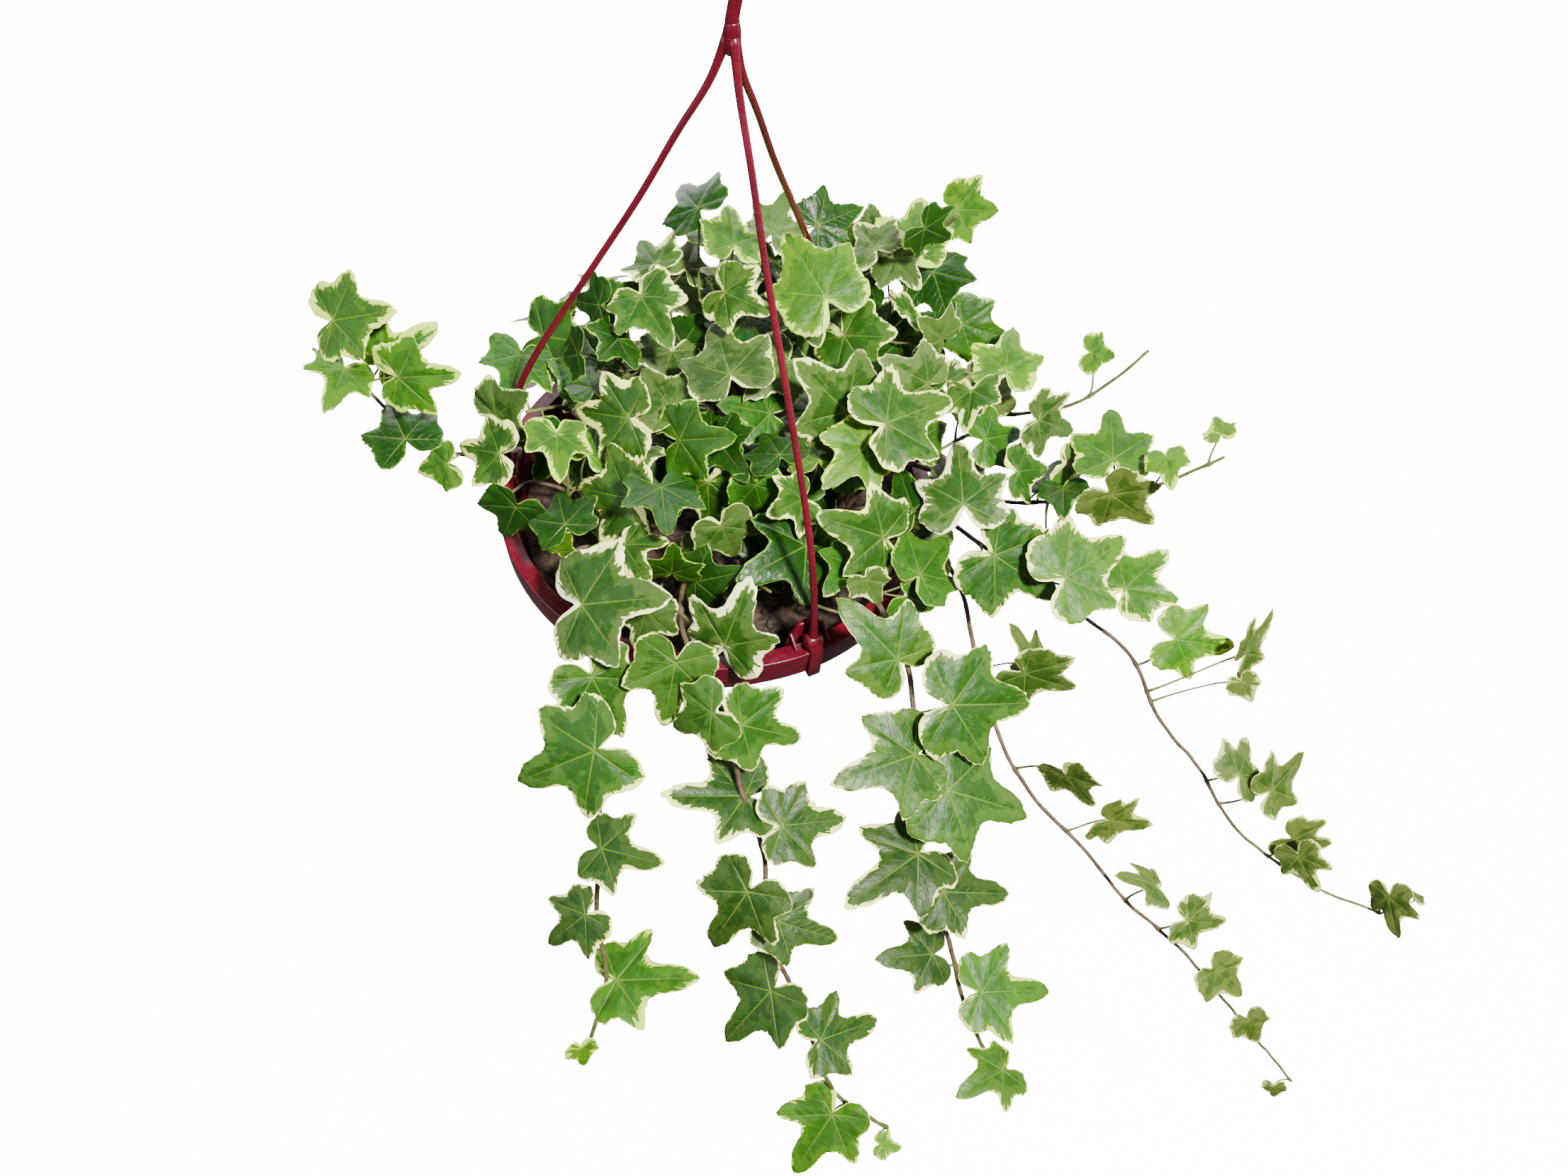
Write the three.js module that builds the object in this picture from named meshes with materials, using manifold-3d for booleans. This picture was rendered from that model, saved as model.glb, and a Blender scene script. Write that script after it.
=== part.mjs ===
// Variegated english ivy in a hanging plastic pot, in millimetres, +Z up.
// The origin is inside the top of the hook, where the whole thing hangs.
// Everything below the hook is laid out from the middle of the pot's rim, RIM_DROP further down.
import * as THREE from 'three';
import { mergeVertices } from 'three/addons/utils/BufferGeometryUtils.js';
import Module from 'manifold-3d';

const wasm = await Module();
wasm.setup();

// Pot and soil
const RIM_DROP = 305;
const RIM_RADIUS = 110;
const LEDGE_WIDTH = 6.5;
const BAND_HEIGHT = 17;
const BAND_DRAFT = 1.2;
const WALL = 2;
const POT_DEPTH = 88;
const BASE_RADIUS = 48;
const POT_SIDES = 24;
const DRAIN_RADIUS = 4;
const DRAIN_RING = 30;
const DRAIN_HOLES = 5;
const SOIL_DROP = 18;
const SOIL_RADIUS = 97.6;
const SOIL_CROWN = 5;
const SOIL_LUMP = 1.2;
const CLEAR = 0.35;

// Hanger: one moulding with three arms, a hub and a hook
const ARM_AZIMUTHS = [-63.4, 56.6, 176.6];
const ARM_RADIUS = 1.4;
const ARM_ROUTE = [[1.5, 256], [8, 236], [20, 212], [36, 178], [59, 134], [82, 90], [95, 60], [102.5, 32],
  [106.2, 6]];
const HUB_TOP = 262;
const HUB_RADIUS = 3.4;
const HOOK_WIRE = 2.6;
const HOOK_RADIUS = 9;
const STRAP_WIDTH = 6.5;
const STRAP_THICK = 1.9;
const KNUCKLE_RADIUS = 4.3;
const LUG_HEIGHT = 12;
const LUG_FOOT = 20;
const LUG_TOP = 9;
const LUG_THICK = 2.6;
const LUG_RADIUS = 98.9;

// Stems and leaves
const STEM_RADIUS = 1.6;
const STEM_SIDES = 3;
const STEM_STEP = 25;
const STALK_RADIUS = 0.75;
const STALK_SIDES = 3;
const BLADE_THICK = 0.8;
const LEAF_ROOM = 0.5;
const HOLE_RADIUS = 2.9;
const HOLE_SIDES = 3;
const ROOT_DEPTH = 44;
const ATTEMPTS = 54;
const RULE_ATTEMPTS = 20;
const LAYER_ATTEMPTS = 27;
const SEEN_ORDER = 100;
const LAYER_ORDER = 200;
const STEM_ATTEMPTS = 12;
const ROOT_CHOICES = 3;
const ROOT_SPACING = 6;
const SHIFT_STEP = 2.6;
const STALK_USUAL = 18;
const STALK_LONGEST = 62;
const ROLL_SPREAD = 20;
const ROLL_MORE = 2.5;
const SIGHT_RANGE = [350, 1100];

// Angle from the tip in degrees, and reach as a share of the leaf's length, of the lobes and of the cuts
// between them
const LOBES = [[0, 1], [27, 0.58], [51, 0.77], [83, 0.54], [117, 0.54], [180, 0.12]];
const YOUNG_LOBES = [[0, 1], [34, 0.52], [72, 0.68], [130, 0.44], [180, 0.2]];
const YOUNG_BELOW = 23;

// How the leaves of a kind of stem stand: how far they face outward, up and to the light, how long and how
// steep their stalks are, and the angle of their tips below the horizontal, with the spread of each
const TRAILING = {
  out: 0.66, up: 0.75, sun: 0.1, lean: 0.3, stalk: [17, 8], lift: 0.75, aside: 0.75, tip: 32, spread: 32,
};
const SPREADING = {
  out: 0.5, up: 0.85, sun: 0.1, lean: 0.45, stalk: [18, 9], lift: 0.8, aside: 0.7, tip: 30, spread: 50,
};
const CROWN = {
  out: 0.25, up: 0.85, sun: 0.4, lean: 0.5, stalk: [22, 12], lift: 1.2, aside: 0.55, tip: 62, spread: 120,
};

// The stems that leave the crown, from where each stands in the soil to its end. Those with first and step
// have leaves spaced by rule along them, and size gives their length at the stem's start and its end.
const TRAILS = [
  { name: 'trail_front_left', ways: TRAILING,
    route: [[-40, -58, 8], [-46, -92, 18], [-50, -124, 12], [-50, -150, -14], [-48, -180, -48],
      [-50, -197, -78], [-46, -215, -120], [-56, -230, -172]] },
  { name: 'trail_front', ways: TRAILING,
    route: [[-12, -56, 6], [-15, -90, 18], [-8, -116, 20], [6, -136, 6], [16, -161, -20], [28, -182, -46],
      [31, -203, -84], [49, -221, -130], [74, -240, -214], [108, -246, -262]] },
  { name: 'trail_front_right', ways: TRAILING,
    route: [[64, -50, 8], [76, -84, 22], [88, -112, 20], [93, -140, 4], [97, -170, -26], [104, -190, -54],
      [118, -206, -84], [131, -221, -126], [155, -236, -186]] },
  { name: 'trail_right_low', ways: TRAILING,
    route: [[84, -28, 6], [104, -42, 14], [122, -56, -6], [133, -82, -34], [147, -112, -58],
      [166, -134, -76], [191, -152, -92], [219, -169, -119], [254, -184, -148], [288, -196, -190],
      [352, -212, -276]] },
  { name: 'trail_right', ways: TRAILING,
    route: [[80, -12, 10], [104, -26, 20], [140, -42, 4], [186, -58, -22], [211, -72, -34], [233, -91, -66],
      [260, -106, -92], [285, -120, -126], [322, -130, -157], [355, -137, -176], [388, -142, -190]] },
  { name: 'trail_right_high', ways: SPREADING,
    route: [[74, 6, 20], [108, -8, 26], [143, -18, 18], [177, -26, 32], [205, -32, 50], [231, -36, 78]] },
  { name: 'trail_right_back', ways: SPREADING,
    route: [[66, 26, 24], [98, 24, 38], [130, 22, 36], [168, 20, 46], [186, 20, 62], [202, 20, 88]] },
  { name: 'trail_back_right', ways: SPREADING,
    route: [[28, 44, 34], [46, 56, 62], [66, 56, 90], [88, 52, 116], [104, 47, 140]] },
  { name: 'trail_left', ways: SPREADING,
    route: [[-74, 6, 8], [-100, 2, 24], [-126, -6, 24], [-146, -9, 44], [-163, -8, 72], [-182, -5, 92]] },
  { name: 'trail_back_left', ways: TRAILING, first: 84, step: 36, size: [36, 20], side: -1,
    route: [[-50, 62, 12], [-66, 92, 20], [-80, 122, 6], [-88, 144, -34], [-92, 158, -84],
      [-96, 166, -140]] },
  { name: 'trail_back', ways: TRAILING, first: 82, step: 36, size: [37, 19], side: 1,
    route: [[2, 74, 14], [4, 108, 20], [8, 138, 0], [6, 156, -44], [10, 168, -100], [6, 174, -162],
      [12, 176, -206]] },
  { name: 'trail_back_far_right', ways: TRAILING, first: 84, step: 36, size: [36, 22], side: -1,
    route: [[64, 60, 12], [84, 88, 18], [104, 112, 2], [116, 128, -38], [122, 138, -92],
      [130, 142, -140]] },
];

// The crown: stems in a spiral over the soil, under a canopy that rises to the back and falls past the rim
const CROWN_STEMS = 26;
const CROWN_FOOT = [10, 78];
const CROWN_REACH = [24, 42];
const CROWN_REACH_RIGHT = 34;
const CROWN_FIRST_LEAF = 30;
const CROWN_LEAF_STEP = 20;
const CROWN_LEAF_SIZE = [34, 28];
const CANOPY_HEIGHT = 70;
const CANOPY_SLOPE = 0.45;
const CANOPY_EDGE = 104;
const CANOPY_FALL = 0.75;
const CANOPY_CUT_BACK = 22;
const CANOPY_FALL_MORE = 0.9;
const STEM_BELOW = 26;
const FILL_BELOW = 13;
const BACK_FROM = 88;
const BACK_BELOW = 28;

// The second layer, under the leaves that are seen best: a lattice of columns and rows, as below, and the
// places of the soil that stay in view, as [x, y, radius]
const LAYER_COLUMNS = [735, 1470, 62];
const LAYER_ROWS = [330, 870, 54];
const LAYER_DEEP = [14, 30];
const LAYER_LEAF = [33, 26];
const LAYER_TIP = 72;
const LAYER_MIDDLE = [22, 5];
const LAYER_RADIUS = 118;
const BARE_SOIL = [[-92, -24, 24], [34, -64, 25]];

// The plant's place in front of the eye. A picture plane stands PICTURE_AWAY units from the eye, and its
// units are columns and rows from its upper left corner.
const EYE = new THREE.Vector3(0, -457.8, 559.4);
const EYE_AHEAD = new THREE.Vector3(0.04985, 0.57661, -0.81549);
const EYE_RIGHT = new THREE.Vector3(0.99818, -0.00111, 0.06024);
const EYE_UP = new THREE.Vector3(-0.03383, 0.81702, 0.57562);
const PICTURE_AWAY = 2000;
const PICTURE_MIDDLE = [1106, 829.5];

// Leaves by where they are seen. Each has the column and row where its stalk meets the blade, the column and
// row its tip shows at, its length in mm, how far in mm it is below the canopy or in front of its stem, and
// its roll in degrees about its length.
const SEEN_ON_CROWN = [
  [985, 293, 950, 253, 30, 0, 0], [1035, 345, 1030, 280, 30, 0, 35], [1000, 330, 965, 293, 24, 6, 40],
  [925, 372, 900, 335, 26, 8, 0], [968, 378, 985, 333, 24, 10, 0], [1038, 392, 1020, 348, 24, 8, 0],
  [904, 418, 945, 484, 31, 0, 0], [1022, 412, 1084, 440, 28, 2, 0], [1030, 528, 1005, 446, 40, 0, 0],
  [734, 501, 715, 565, 30, 0, 0], [845, 430, 803, 425, 26, 12, 0], [838, 548, 828, 508, 22, 14, 0],
  [815, 500, 790, 505, 22, 16, 0], [872, 478, 850, 500, 24, 15, 0], [945, 572, 905, 518, 32, 3, 0],
  [1164, 418, 1102, 316, 40, -22, 0], [1287, 346, 1301, 271, 32, 0, 0], [1350, 295, 1409, 298, 26, 0, 0],
  [1418, 523, 1431, 449, 30, 0, 0], [1192, 473, 1242, 563, 37, 4, 25], [1131, 424, 1156, 490, 30, 10, 0],
  [1194, 581, 1123, 508, 40, 2, 0], [1270, 480, 1333, 502, 28, 12, 0], [1281, 442, 1283, 408, 20, 4, 45],
  [1329, 477, 1300, 450, 24, 10, 0], [1335, 538, 1345, 497, 22, 4, 0], [1309, 540, 1252, 510, 28, 6, 0],
  [1371, 551, 1360, 610, 27, 0, 20], [1250, 597, 1346, 558, 40, 6, 0], [1221, 629, 1164, 684, 30, -4, 0],
  [1154, 650, 1150, 607, 26, 8, 0], [1359, 711, 1351, 607, 39, -4, 0], [1246, 757, 1164, 732, 35, 0, 0],
  [1289, 722, 1266, 657, 30, 11, 0], [1298, 810, 1343, 752, 34, 2, 0], [1403, 783, 1495, 845, 42, -2, 0],
  [1137, 770, 1055, 811, 38, 9, 0], [1195, 765, 1163, 782, 24, 12, 0], [1200, 795, 1168, 836, 25, 8, 0],
  [1100, 642, 1075, 598, 28, 8, 0], [1066, 684, 1080, 735, 22, 4, 0], [1132, 705, 1080, 728, 26, 6, 0],
  [1282, 842, 1330, 862, 26, 10, 0], [1222, 818, 1240, 852, 16, 12, 0], [700, 586, 742, 555, 28, 2, 0],
  [705, 640, 640, 628, 30, 0, 0], [785, 612, 790, 680, 27, 0, 0], [830, 640, 845, 597, 24, 4, 0],
  [887, 589, 800, 580, 35, 0, 0], [903, 637, 905, 666, 20, 8, 0], [959, 621, 1030, 618, 30, 2, 0],
  [1012, 620, 1049, 672, 29, 4, 0], [886, 703, 809, 688, 34, -2, 0], [933, 687, 941, 749, 29, 6, 0],
  [1000, 679, 998, 756, 32, 6, 0], [798, 740, 780, 678, 30, 8, 0], [728, 715, 708, 760, 28, 14, 0],
  [790, 777, 803, 752, 16, 16, 0], [880, 769, 915, 820, 29, -3, 0], [948, 808, 950, 775, 24, 8, 0],
  [1018, 742, 1043, 798, 28, 8, 0], [976, 772, 958, 752, 18, 12, 0], [982, 820, 1046, 810, 27, 8, 0],
  [1023, 911, 1053, 819, 38, -4, 0], [821, 853, 930, 841, 41, -4, 0], [912, 861, 895, 925, 26, -5, 0],
  [1465, 592, 1516, 610, 28, 0, 0], [1435, 665, 1478, 660, 24, 4, 0], [1500, 690, 1500, 726, 20, 8, 0],
  [1505, 655, 1540, 665, 19, 2, 0], [1390, 620, 1455, 605, 28, 8, 0],
  [1480, 682, 1500, 640, 25, 10, 0], [1503, 815, 1600, 755, 42, 0, 0], [1588, 830, 1655, 765, 36, 0, 0],
];
const SEEN_ON_STEMS = {
  trail_front_left: [
    [835, 955, 879, 1039, 34, 10, 0], [839, 1059, 725, 1107, 42, 10, 0], [849, 1197, 928, 1217, 30, 10, 0],
    [826, 1290, 768, 1335, 28, 9, 0], [870, 1383, 982, 1378, 41, 9, 0], [820, 1478, 825, 1505, 14, 6, 0],
  ],
  trail_front: [
    [953, 935, 934, 1036, 37, 10, 0], [1005, 1005, 942, 1030, 28, 8, 0],
    [1046, 1022, 1132, 1045, 33, 10, 0], [1054, 1124, 942, 1122, 38, 10, 0],
    [1103, 1165, 1198, 1155, 34, 8, 0], [1055, 1258, 997, 1341, 37, 12, 0],
    [1098, 1300, 1185, 1328, 32, 2, 0], [1088, 1398, 1013, 1476, 41, 9, 0],
    [1158, 1467, 1243, 1438, 36, 8, 0], [1174, 1572, 1120, 1655, 40, 9, 0],
    [1243, 1615, 1275, 1620, 14, 5, 0],
  ],
  trail_front_right: [
    [1266, 930, 1193, 852, 37, 10, 0], [1343, 994, 1463, 995, 42, 10, 0],
    [1290, 1065, 1185, 1103, 40, 9, 0], [1337, 1115, 1455, 1147, 43, 8, 0],
    [1295, 1205, 1205, 1268, 40, 9, 0], [1330, 1258, 1430, 1262, 37, 8, 0],
    [1315, 1346, 1246, 1351, 29, 9, 0], [1385, 1400, 1487, 1396, 39, 9, 0],
    [1415, 1510, 1357, 1541, 29, 7, 0],
  ],
  trail_right_low: [
    [1455, 935, 1430, 880, 25, 10, 55], [1446, 950, 1520, 981, 33, 12, 40],
    [1503, 1093, 1541, 1142, 27, 14, 60], [1565, 1157, 1622, 1163, 27, 14, 50],
    [1630, 1250, 1580, 1228, 26, 12, 50], [1676, 1298, 1735, 1306, 28, 13, 35],
    [1715, 1370, 1752, 1404, 23, 8, 0], [1760, 1440, 1776, 1474, 18, 7, 0],
    [1797, 1533, 1797, 1553, 12, 5, 0],
  ],
  trail_right: [
    [1660, 902, 1742, 915, 31, 8, 0], [1757, 922, 1797, 866, 28, 14, 50], [1752, 962, 1768, 993, 14, 8, 30],
    [1748, 1093, 1772, 1036, 29, 12, 35], [1793, 1115, 1845, 1068, 29, 14, 50],
    [1825, 1183, 1882, 1200, 28, 12, 30], [1832, 1208, 1857, 1263, 24, 8, 40],
    [1960, 1265, 1967, 1328, 26, 5, 55], [1998, 1268, 2010, 1262, 9, 5, 0],
  ],
  trail_right_high: [
    [1571, 648, 1568, 575, 31, 10, 0], [1568, 697, 1626, 742, 31, 8, 20], [1645, 645, 1655, 690, 19, 7, 0],
    [1722, 612, 1712, 583, 13, 8, 0],
  ],
  trail_back_right: [
    [1262, 366, 1300, 408, 25, 8, 0], [1304, 322, 1346, 342, 24, 9, 0], [1236, 350, 1205, 312, 26, 7, 0],
  ],
  trail_right_back: [[1540, 498, 1577, 503, 17, 8, 0]],
  trail_left: [
    [572, 620, 543, 558, 30, 12, 0], [470, 452, 548, 438, 29, 12, 0], [543, 511, 611, 462, 31, 12, 0],
    [486, 520, 463, 571, 26, 8, 0], [562, 532, 645, 530, 29, 10, 40], [630, 655, 585, 666, 22, 6, 0],
  ],
};

const radians = THREE.MathUtils.degToRad;
const mix = THREE.MathUtils.lerp;
const up = new THREE.Vector3(0, 0, 1);
const sunward = new THREE.Vector3(0, -1, 0);

// A repeatable draw between 0 and 1 for one use at one attempt for one leaf of one stem
function draw(stem, leaf, attempt, use) {
  let h = Math.imul(stem + 1, 0x9e3779b1) ^ Math.imul(leaf + 1, 0x85ebca6b);
  h ^= Math.imul(attempt + 1, 0xc2b2ae35) ^ Math.imul(use + 1, 0x27d4eb2f);
  h = Math.imul(h ^ (h >>> 15), 0x2c1b3c6d);
  h = Math.imul(h ^ (h >>> 12), 0x297a2d39);
  return ((h ^ (h >>> 15)) >>> 0) / 4294967296;
}

function around(radius, azimuth, z) {
  const a = radians(azimuth);
  return new THREE.Vector3(radius * Math.cos(a), radius * Math.sin(a), z);
}

function solid(geometry) {
  const bare = geometry.clone();
  for (const name of ['normal', 'uv']) bare.deleteAttribute(name);
  const merged = mergeVertices(bare, 1e-4);
  const index = merged.index.array;
  const kept = [];
  for (let i = 0; i < index.length; i += 3) {
    const [a, b, c] = [index[i], index[i + 1], index[i + 2]];
    if (a !== b && b !== c && c !== a) kept.push(a, b, c);
  }
  const place = merged.attributes.position;
  let volume = 0;
  const [p, q, r] = [new THREE.Vector3(), new THREE.Vector3(), new THREE.Vector3()];
  for (let i = 0; i < kept.length; i += 3) {
    p.fromBufferAttribute(place, kept[i]);
    q.fromBufferAttribute(place, kept[i + 1]);
    r.fromBufferAttribute(place, kept[i + 2]);
    volume += p.dot(q.cross(r));
  }
  const triangles = volume < 0 ? kept.reverse() : kept;
  return new wasm.Manifold(new wasm.Mesh({
    numProp: 3,
    vertProperties: new Float32Array(place.array),
    triVerts: new Uint32Array(triangles),
  }));
}

function meshOf(name, body, material) {
  const made = body.getMesh();
  const geometry = new THREE.BufferGeometry();
  geometry.setAttribute('position', new THREE.BufferAttribute(made.vertProperties, 3));
  geometry.setIndex(new THREE.BufferAttribute(made.triVerts, 1));
  geometry.computeVertexNormals();
  const mesh = new THREE.Mesh(geometry, material);
  mesh.name = name;
  return mesh;
}

const joined = (solids) => solids.reduce((sum, one) => sum.add(one));

// A turned body from its outline of [radius, height], with one flat of its polygon under each arm
function turned(outline) {
  const geometry = new THREE.LatheGeometry(outline.map(([r, z]) => new THREE.Vector2(r, z)), POT_SIDES);
  return solid(geometry.rotateX(Math.PI / 2).rotateZ(radians(ARM_AZIMUTHS[0] + 90 + 180 / POT_SIDES)));
}

// A plate drawn as [radius, height] in the plane of an arm, as wide across that plane as given
function plateAt(azimuth, outline, width) {
  const shape = new THREE.Shape(outline.map(([r, z]) => new THREE.Vector2(r, z)));
  const geometry = new THREE.ExtrudeGeometry(shape, { depth: width, bevelEnabled: false });
  return solid(geometry.translate(0, 0, -width / 2).rotateX(Math.PI / 2).rotateZ(radians(azimuth)));
}

function polygon(radius, sides) {
  const corner = (_, i) => {
    const a = i * 2 * Math.PI / sides;
    return new THREE.Vector2(radius * Math.cos(a), radius * Math.sin(a));
  };
  return new THREE.Shape(Array.from({ length: sides }, corner));
}

function tube(curve, radius, sides, steps) {
  const path = { extrudePath: curve, steps, bevelEnabled: false };
  return solid(new THREE.ExtrudeGeometry(polygon(radius, sides), path));
}

const facetRadius = RIM_RADIUS * Math.cos(Math.PI / POT_SIDES);
const wallRadius = RIM_RADIUS - LEDGE_WIDTH;
const OUTER_WALL = [[BASE_RADIUS, -POT_DEPTH], [63, -80.5], [79, -66], [90.5, -48], [98, -30],
  [101.5, -BAND_HEIGHT]];

function potInside(clearance) {
  const lift = WALL + clearance;
  const inward = OUTER_WALL.map(([r, z], i) => [r - lift, z + lift * (1 - i / OUTER_WALL.length)]);
  return [[0, -POT_DEPTH + lift], ...inward];
}

function buildPot() {
  const outline = [
    [0, -POT_DEPTH],
    ...OUTER_WALL,
    [wallRadius, -WALL],
    [RIM_RADIUS - WALL, -WALL],
    [RIM_RADIUS - WALL - BAND_DRAFT, -BAND_HEIGHT],
    [RIM_RADIUS - BAND_DRAFT, -BAND_HEIGHT],
    [RIM_RADIUS, -BAND_DRAFT],
    [RIM_RADIUS - BAND_DRAFT, 0],
    [wallRadius - WALL, 0],
    ...potInside(0).reverse(),
  ];
  const holes = Array.from({ length: DRAIN_HOLES }, (_, i) => {
    const drill = new THREE.CylinderGeometry(DRAIN_RADIUS, DRAIN_RADIUS, 4 * WALL, 10).rotateX(Math.PI / 2);
    const middle = around(DRAIN_RING, i * 360 / DRAIN_HOLES, -POT_DEPTH);
    return solid(drill.translate(middle.x, middle.y, middle.z));
  });
  const lugs = ARM_AZIMUTHS.map((azimuth) => {
    const lug = new THREE.Shape([
      new THREE.Vector2(-LUG_FOOT / 2, -LUG_HEIGHT),
      new THREE.Vector2(LUG_FOOT / 2, -LUG_HEIGHT),
      new THREE.Vector2(LUG_FOOT / 2, 0.5),
      new THREE.Vector2(LUG_TOP / 2, LUG_HEIGHT),
      new THREE.Vector2(-LUG_TOP / 2, LUG_HEIGHT),
      new THREE.Vector2(-LUG_FOOT / 2, 0.5),
    ]);
    const plate = new THREE.ExtrudeGeometry(lug, { depth: LUG_THICK, bevelEnabled: false });
    plate.rotateX(Math.PI / 2).rotateZ(Math.PI / 2).translate(LUG_RADIUS, 0, 0);
    return solid(plate.rotateZ(radians(azimuth)));
  });
  return joined([turned(outline), ...lugs]).subtract(joined(holes));
}

// The soil fills the pot to SOIL_DROP below its rim, a little higher in the middle, with shallow lumps
function buildSoil(roots) {
  const inside = potInside(CLEAR).filter((_, i) => [0, 1, 3, 5].includes(i));
  const top = [[SOIL_RADIUS, -SOIL_DROP - 2], [SOIL_RADIUS * 0.55, -SOIL_DROP + SOIL_CROWN * 0.6],
    [0, -SOIL_DROP + SOIL_CROWN]];
  const filled = turned([...inside, ...top]);
  const lumpy = filled.getMesh();
  const places = lumpy.vertProperties;
  for (let i = 0; i < places.length; i += 3) {
    const [x, y, z] = [places[i], places[i + 1], places[i + 2]];
    if (z > -SOIL_DROP - 1) places[i + 2] += SOIL_LUMP * Math.sin(x * 0.13 + 1) * Math.cos(y * 0.11);
  }
  const holes = roots.map(({ x, y }) => {
    const drill = new THREE.CylinderGeometry(HOLE_RADIUS, HOLE_RADIUS, ROOT_DEPTH, HOLE_SIDES);
    return solid(drill.rotateX(Math.PI / 2).translate(x, y, -ROOT_DEPTH / 2 - CLEAR));
  });
  return new wasm.Manifold(lumpy).subtract(joined(holes));
}

function buildHanger() {
  const pieces = [];
  for (const azimuth of ARM_AZIMUTHS) {
    const route = new THREE.CatmullRomCurve3(ARM_ROUTE.map(([r, z]) => around(r, azimuth, z)));
    pieces.push(tube(route, ARM_RADIUS, 6, 11));
    const knuckle = new THREE.CylinderGeometry(KNUCKLE_RADIUS, KNUCKLE_RADIUS, STRAP_WIDTH + 1.5, 8);
    const seat = around(facetRadius - 3.2, 0, KNUCKLE_RADIUS + CLEAR);
    knuckle.translate(seat.x, 0, seat.z).rotateZ(radians(azimuth));
    pieces.push(solid(knuckle));
    const inner = facetRadius + CLEAR;
    const outer = inner + STRAP_THICK;
    const foot = -BAND_HEIGHT - CLEAR;
    pieces.push(plateAt(azimuth, [
      [facetRadius - 4, CLEAR], [inner, CLEAR], [inner, foot], [inner - 3, foot],
      [inner - 3, foot - STRAP_THICK], [outer, foot - STRAP_THICK], [outer, CLEAR + 1],
      [outer - 1, CLEAR + STRAP_THICK],
      [facetRadius - 4, CLEAR + STRAP_THICK + 1],
    ], STRAP_WIDTH));
  }
  const hub = new THREE.LatheGeometry([
    [0, 248], [HUB_RADIUS, 251], [HUB_RADIUS, HUB_TOP - 4], [HOOK_WIRE, HUB_TOP], [0, HUB_TOP],
  ].map(([r, z]) => new THREE.Vector2(r, z)), 8);
  pieces.push(solid(hub.rotateX(Math.PI / 2)));
  const bend = RIM_DROP - HOOK_RADIUS;
  const bar = HOOK_RADIUS + HOOK_WIRE;
  const hook = [new THREE.Vector3(0, 0, HUB_TOP - 8), new THREE.Vector3(0, 0, HUB_TOP + 2)];
  for (const degrees of [-70, -30, 15, 60, 100, 140, 180, 205]) {
    const a = radians(degrees);
    hook.push(new THREE.Vector3(bar * Math.cos(a), 0, bend + bar * Math.sin(a)));
  }
  pieces.push(tube(new THREE.CatmullRomCurve3(hook), HOOK_WIRE, 6, 14));
  return joined(pieces);
}

// The height of the crown's upper leaves over a place. It falls less steeply past the rim on the right, and
// sooner and more steeply at the left of the back.
function canopyHeight(x, y) {
  const r = Math.hypot(x, y, 1);
  const right = Math.max(0, x / r);
  const leftBack = Math.max(0, (y - x) / (r * Math.SQRT2));
  const past = Math.max(0, r - CANOPY_EDGE + CANOPY_CUT_BACK * leftBack);
  const fall = (CANOPY_FALL + CANOPY_FALL_MORE * leftBack) * (1 - 0.8 * right * right);
  return CANOPY_HEIGHT + CANOPY_SLOPE * y - fall * past;
}

// The crown's stems stand in a spiral over the soil and lean outward to their places under the canopy
function crownStems() {
  return Array.from({ length: CROWN_STEMS }, (_, i) => {
    const share = (i + 0.5) / CROWN_STEMS;
    const azimuth = i * 137.508 + 40;
    const foot = mix(CROWN_FOOT[0], CROWN_FOOT[1], Math.sqrt(share));
    const right = Math.max(0, Math.cos(radians(azimuth)));
    const reach = mix(CROWN_REACH[0], CROWN_REACH[1], share) + CROWN_REACH_RIGHT * share * right;
    const end = around(foot + reach, azimuth + 8, 0);
    const rise = canopyHeight(end.x, end.y) - STEM_BELOW;
    return {
      name: '',
      ways: CROWN,
      first: CROWN_FIRST_LEAF,
      step: CROWN_LEAF_STEP,
      size: CROWN_LEAF_SIZE,
      side: i % 2 ? 1 : -1,
      foot: around(foot, azimuth, 0).toArray(),
      route: [around(foot + reach * 0.2, azimuth, rise * 0.45), around(foot + reach * 0.55, azimuth, rise * 0.85),
        end.setZ(rise)].map((p) => p.toArray()),
    };
  });
}

// A stem stands straight in its hole, then follows its route. Each attempt swings the route a little.
function stemPath(stem, order, attempt) {
  const first = new THREE.Vector3(...stem.route[0]);
  const foot = stem.foot ? new THREE.Vector3(...stem.foot) : first.clone().multiplyScalar(0.92).setZ(0);
  const swing = attempt * 3 * (draw(order, 0, attempt, 20) - 0.5);
  const points = [-ROOT_DEPTH + 0.3, -SOIL_DROP - 6, -6].map((z) => foot.clone().setZ(z));
  for (const [x, y, z] of stem.route) {
    const aside = new THREE.Vector3(-y, x, 0).setLength(swing);
    points.push(new THREE.Vector3(x, y, z + attempt * (draw(order, 1, attempt, 21) - 0.5)).add(aside));
  }
  const curve = new THREE.CatmullRomCurve3(points, false, 'catmullrom', 0.5);
  const steps = Math.max(5, Math.round(curve.getLength() / STEM_STEP));
  return { curve, steps, spine: curve.getSpacedPoints(steps) };
}

function along(spine, distance) {
  let left = distance;
  for (let i = 1; i < spine.length; i++) {
    const span = spine[i].distanceTo(spine[i - 1]);
    if (left <= span || i === spine.length - 1) {
      const way = spine[i].clone().sub(spine[i - 1]).normalize();
      return { place: spine[i - 1].clone().addScaledVector(way, Math.min(left, span)), way };
    }
    left -= span;
  }
}

function lengthOf(spine) {
  return spine.reduce((sum, p, i) => (i ? sum + p.distanceTo(spine[i - 1]) : 0), 0);
}

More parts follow.
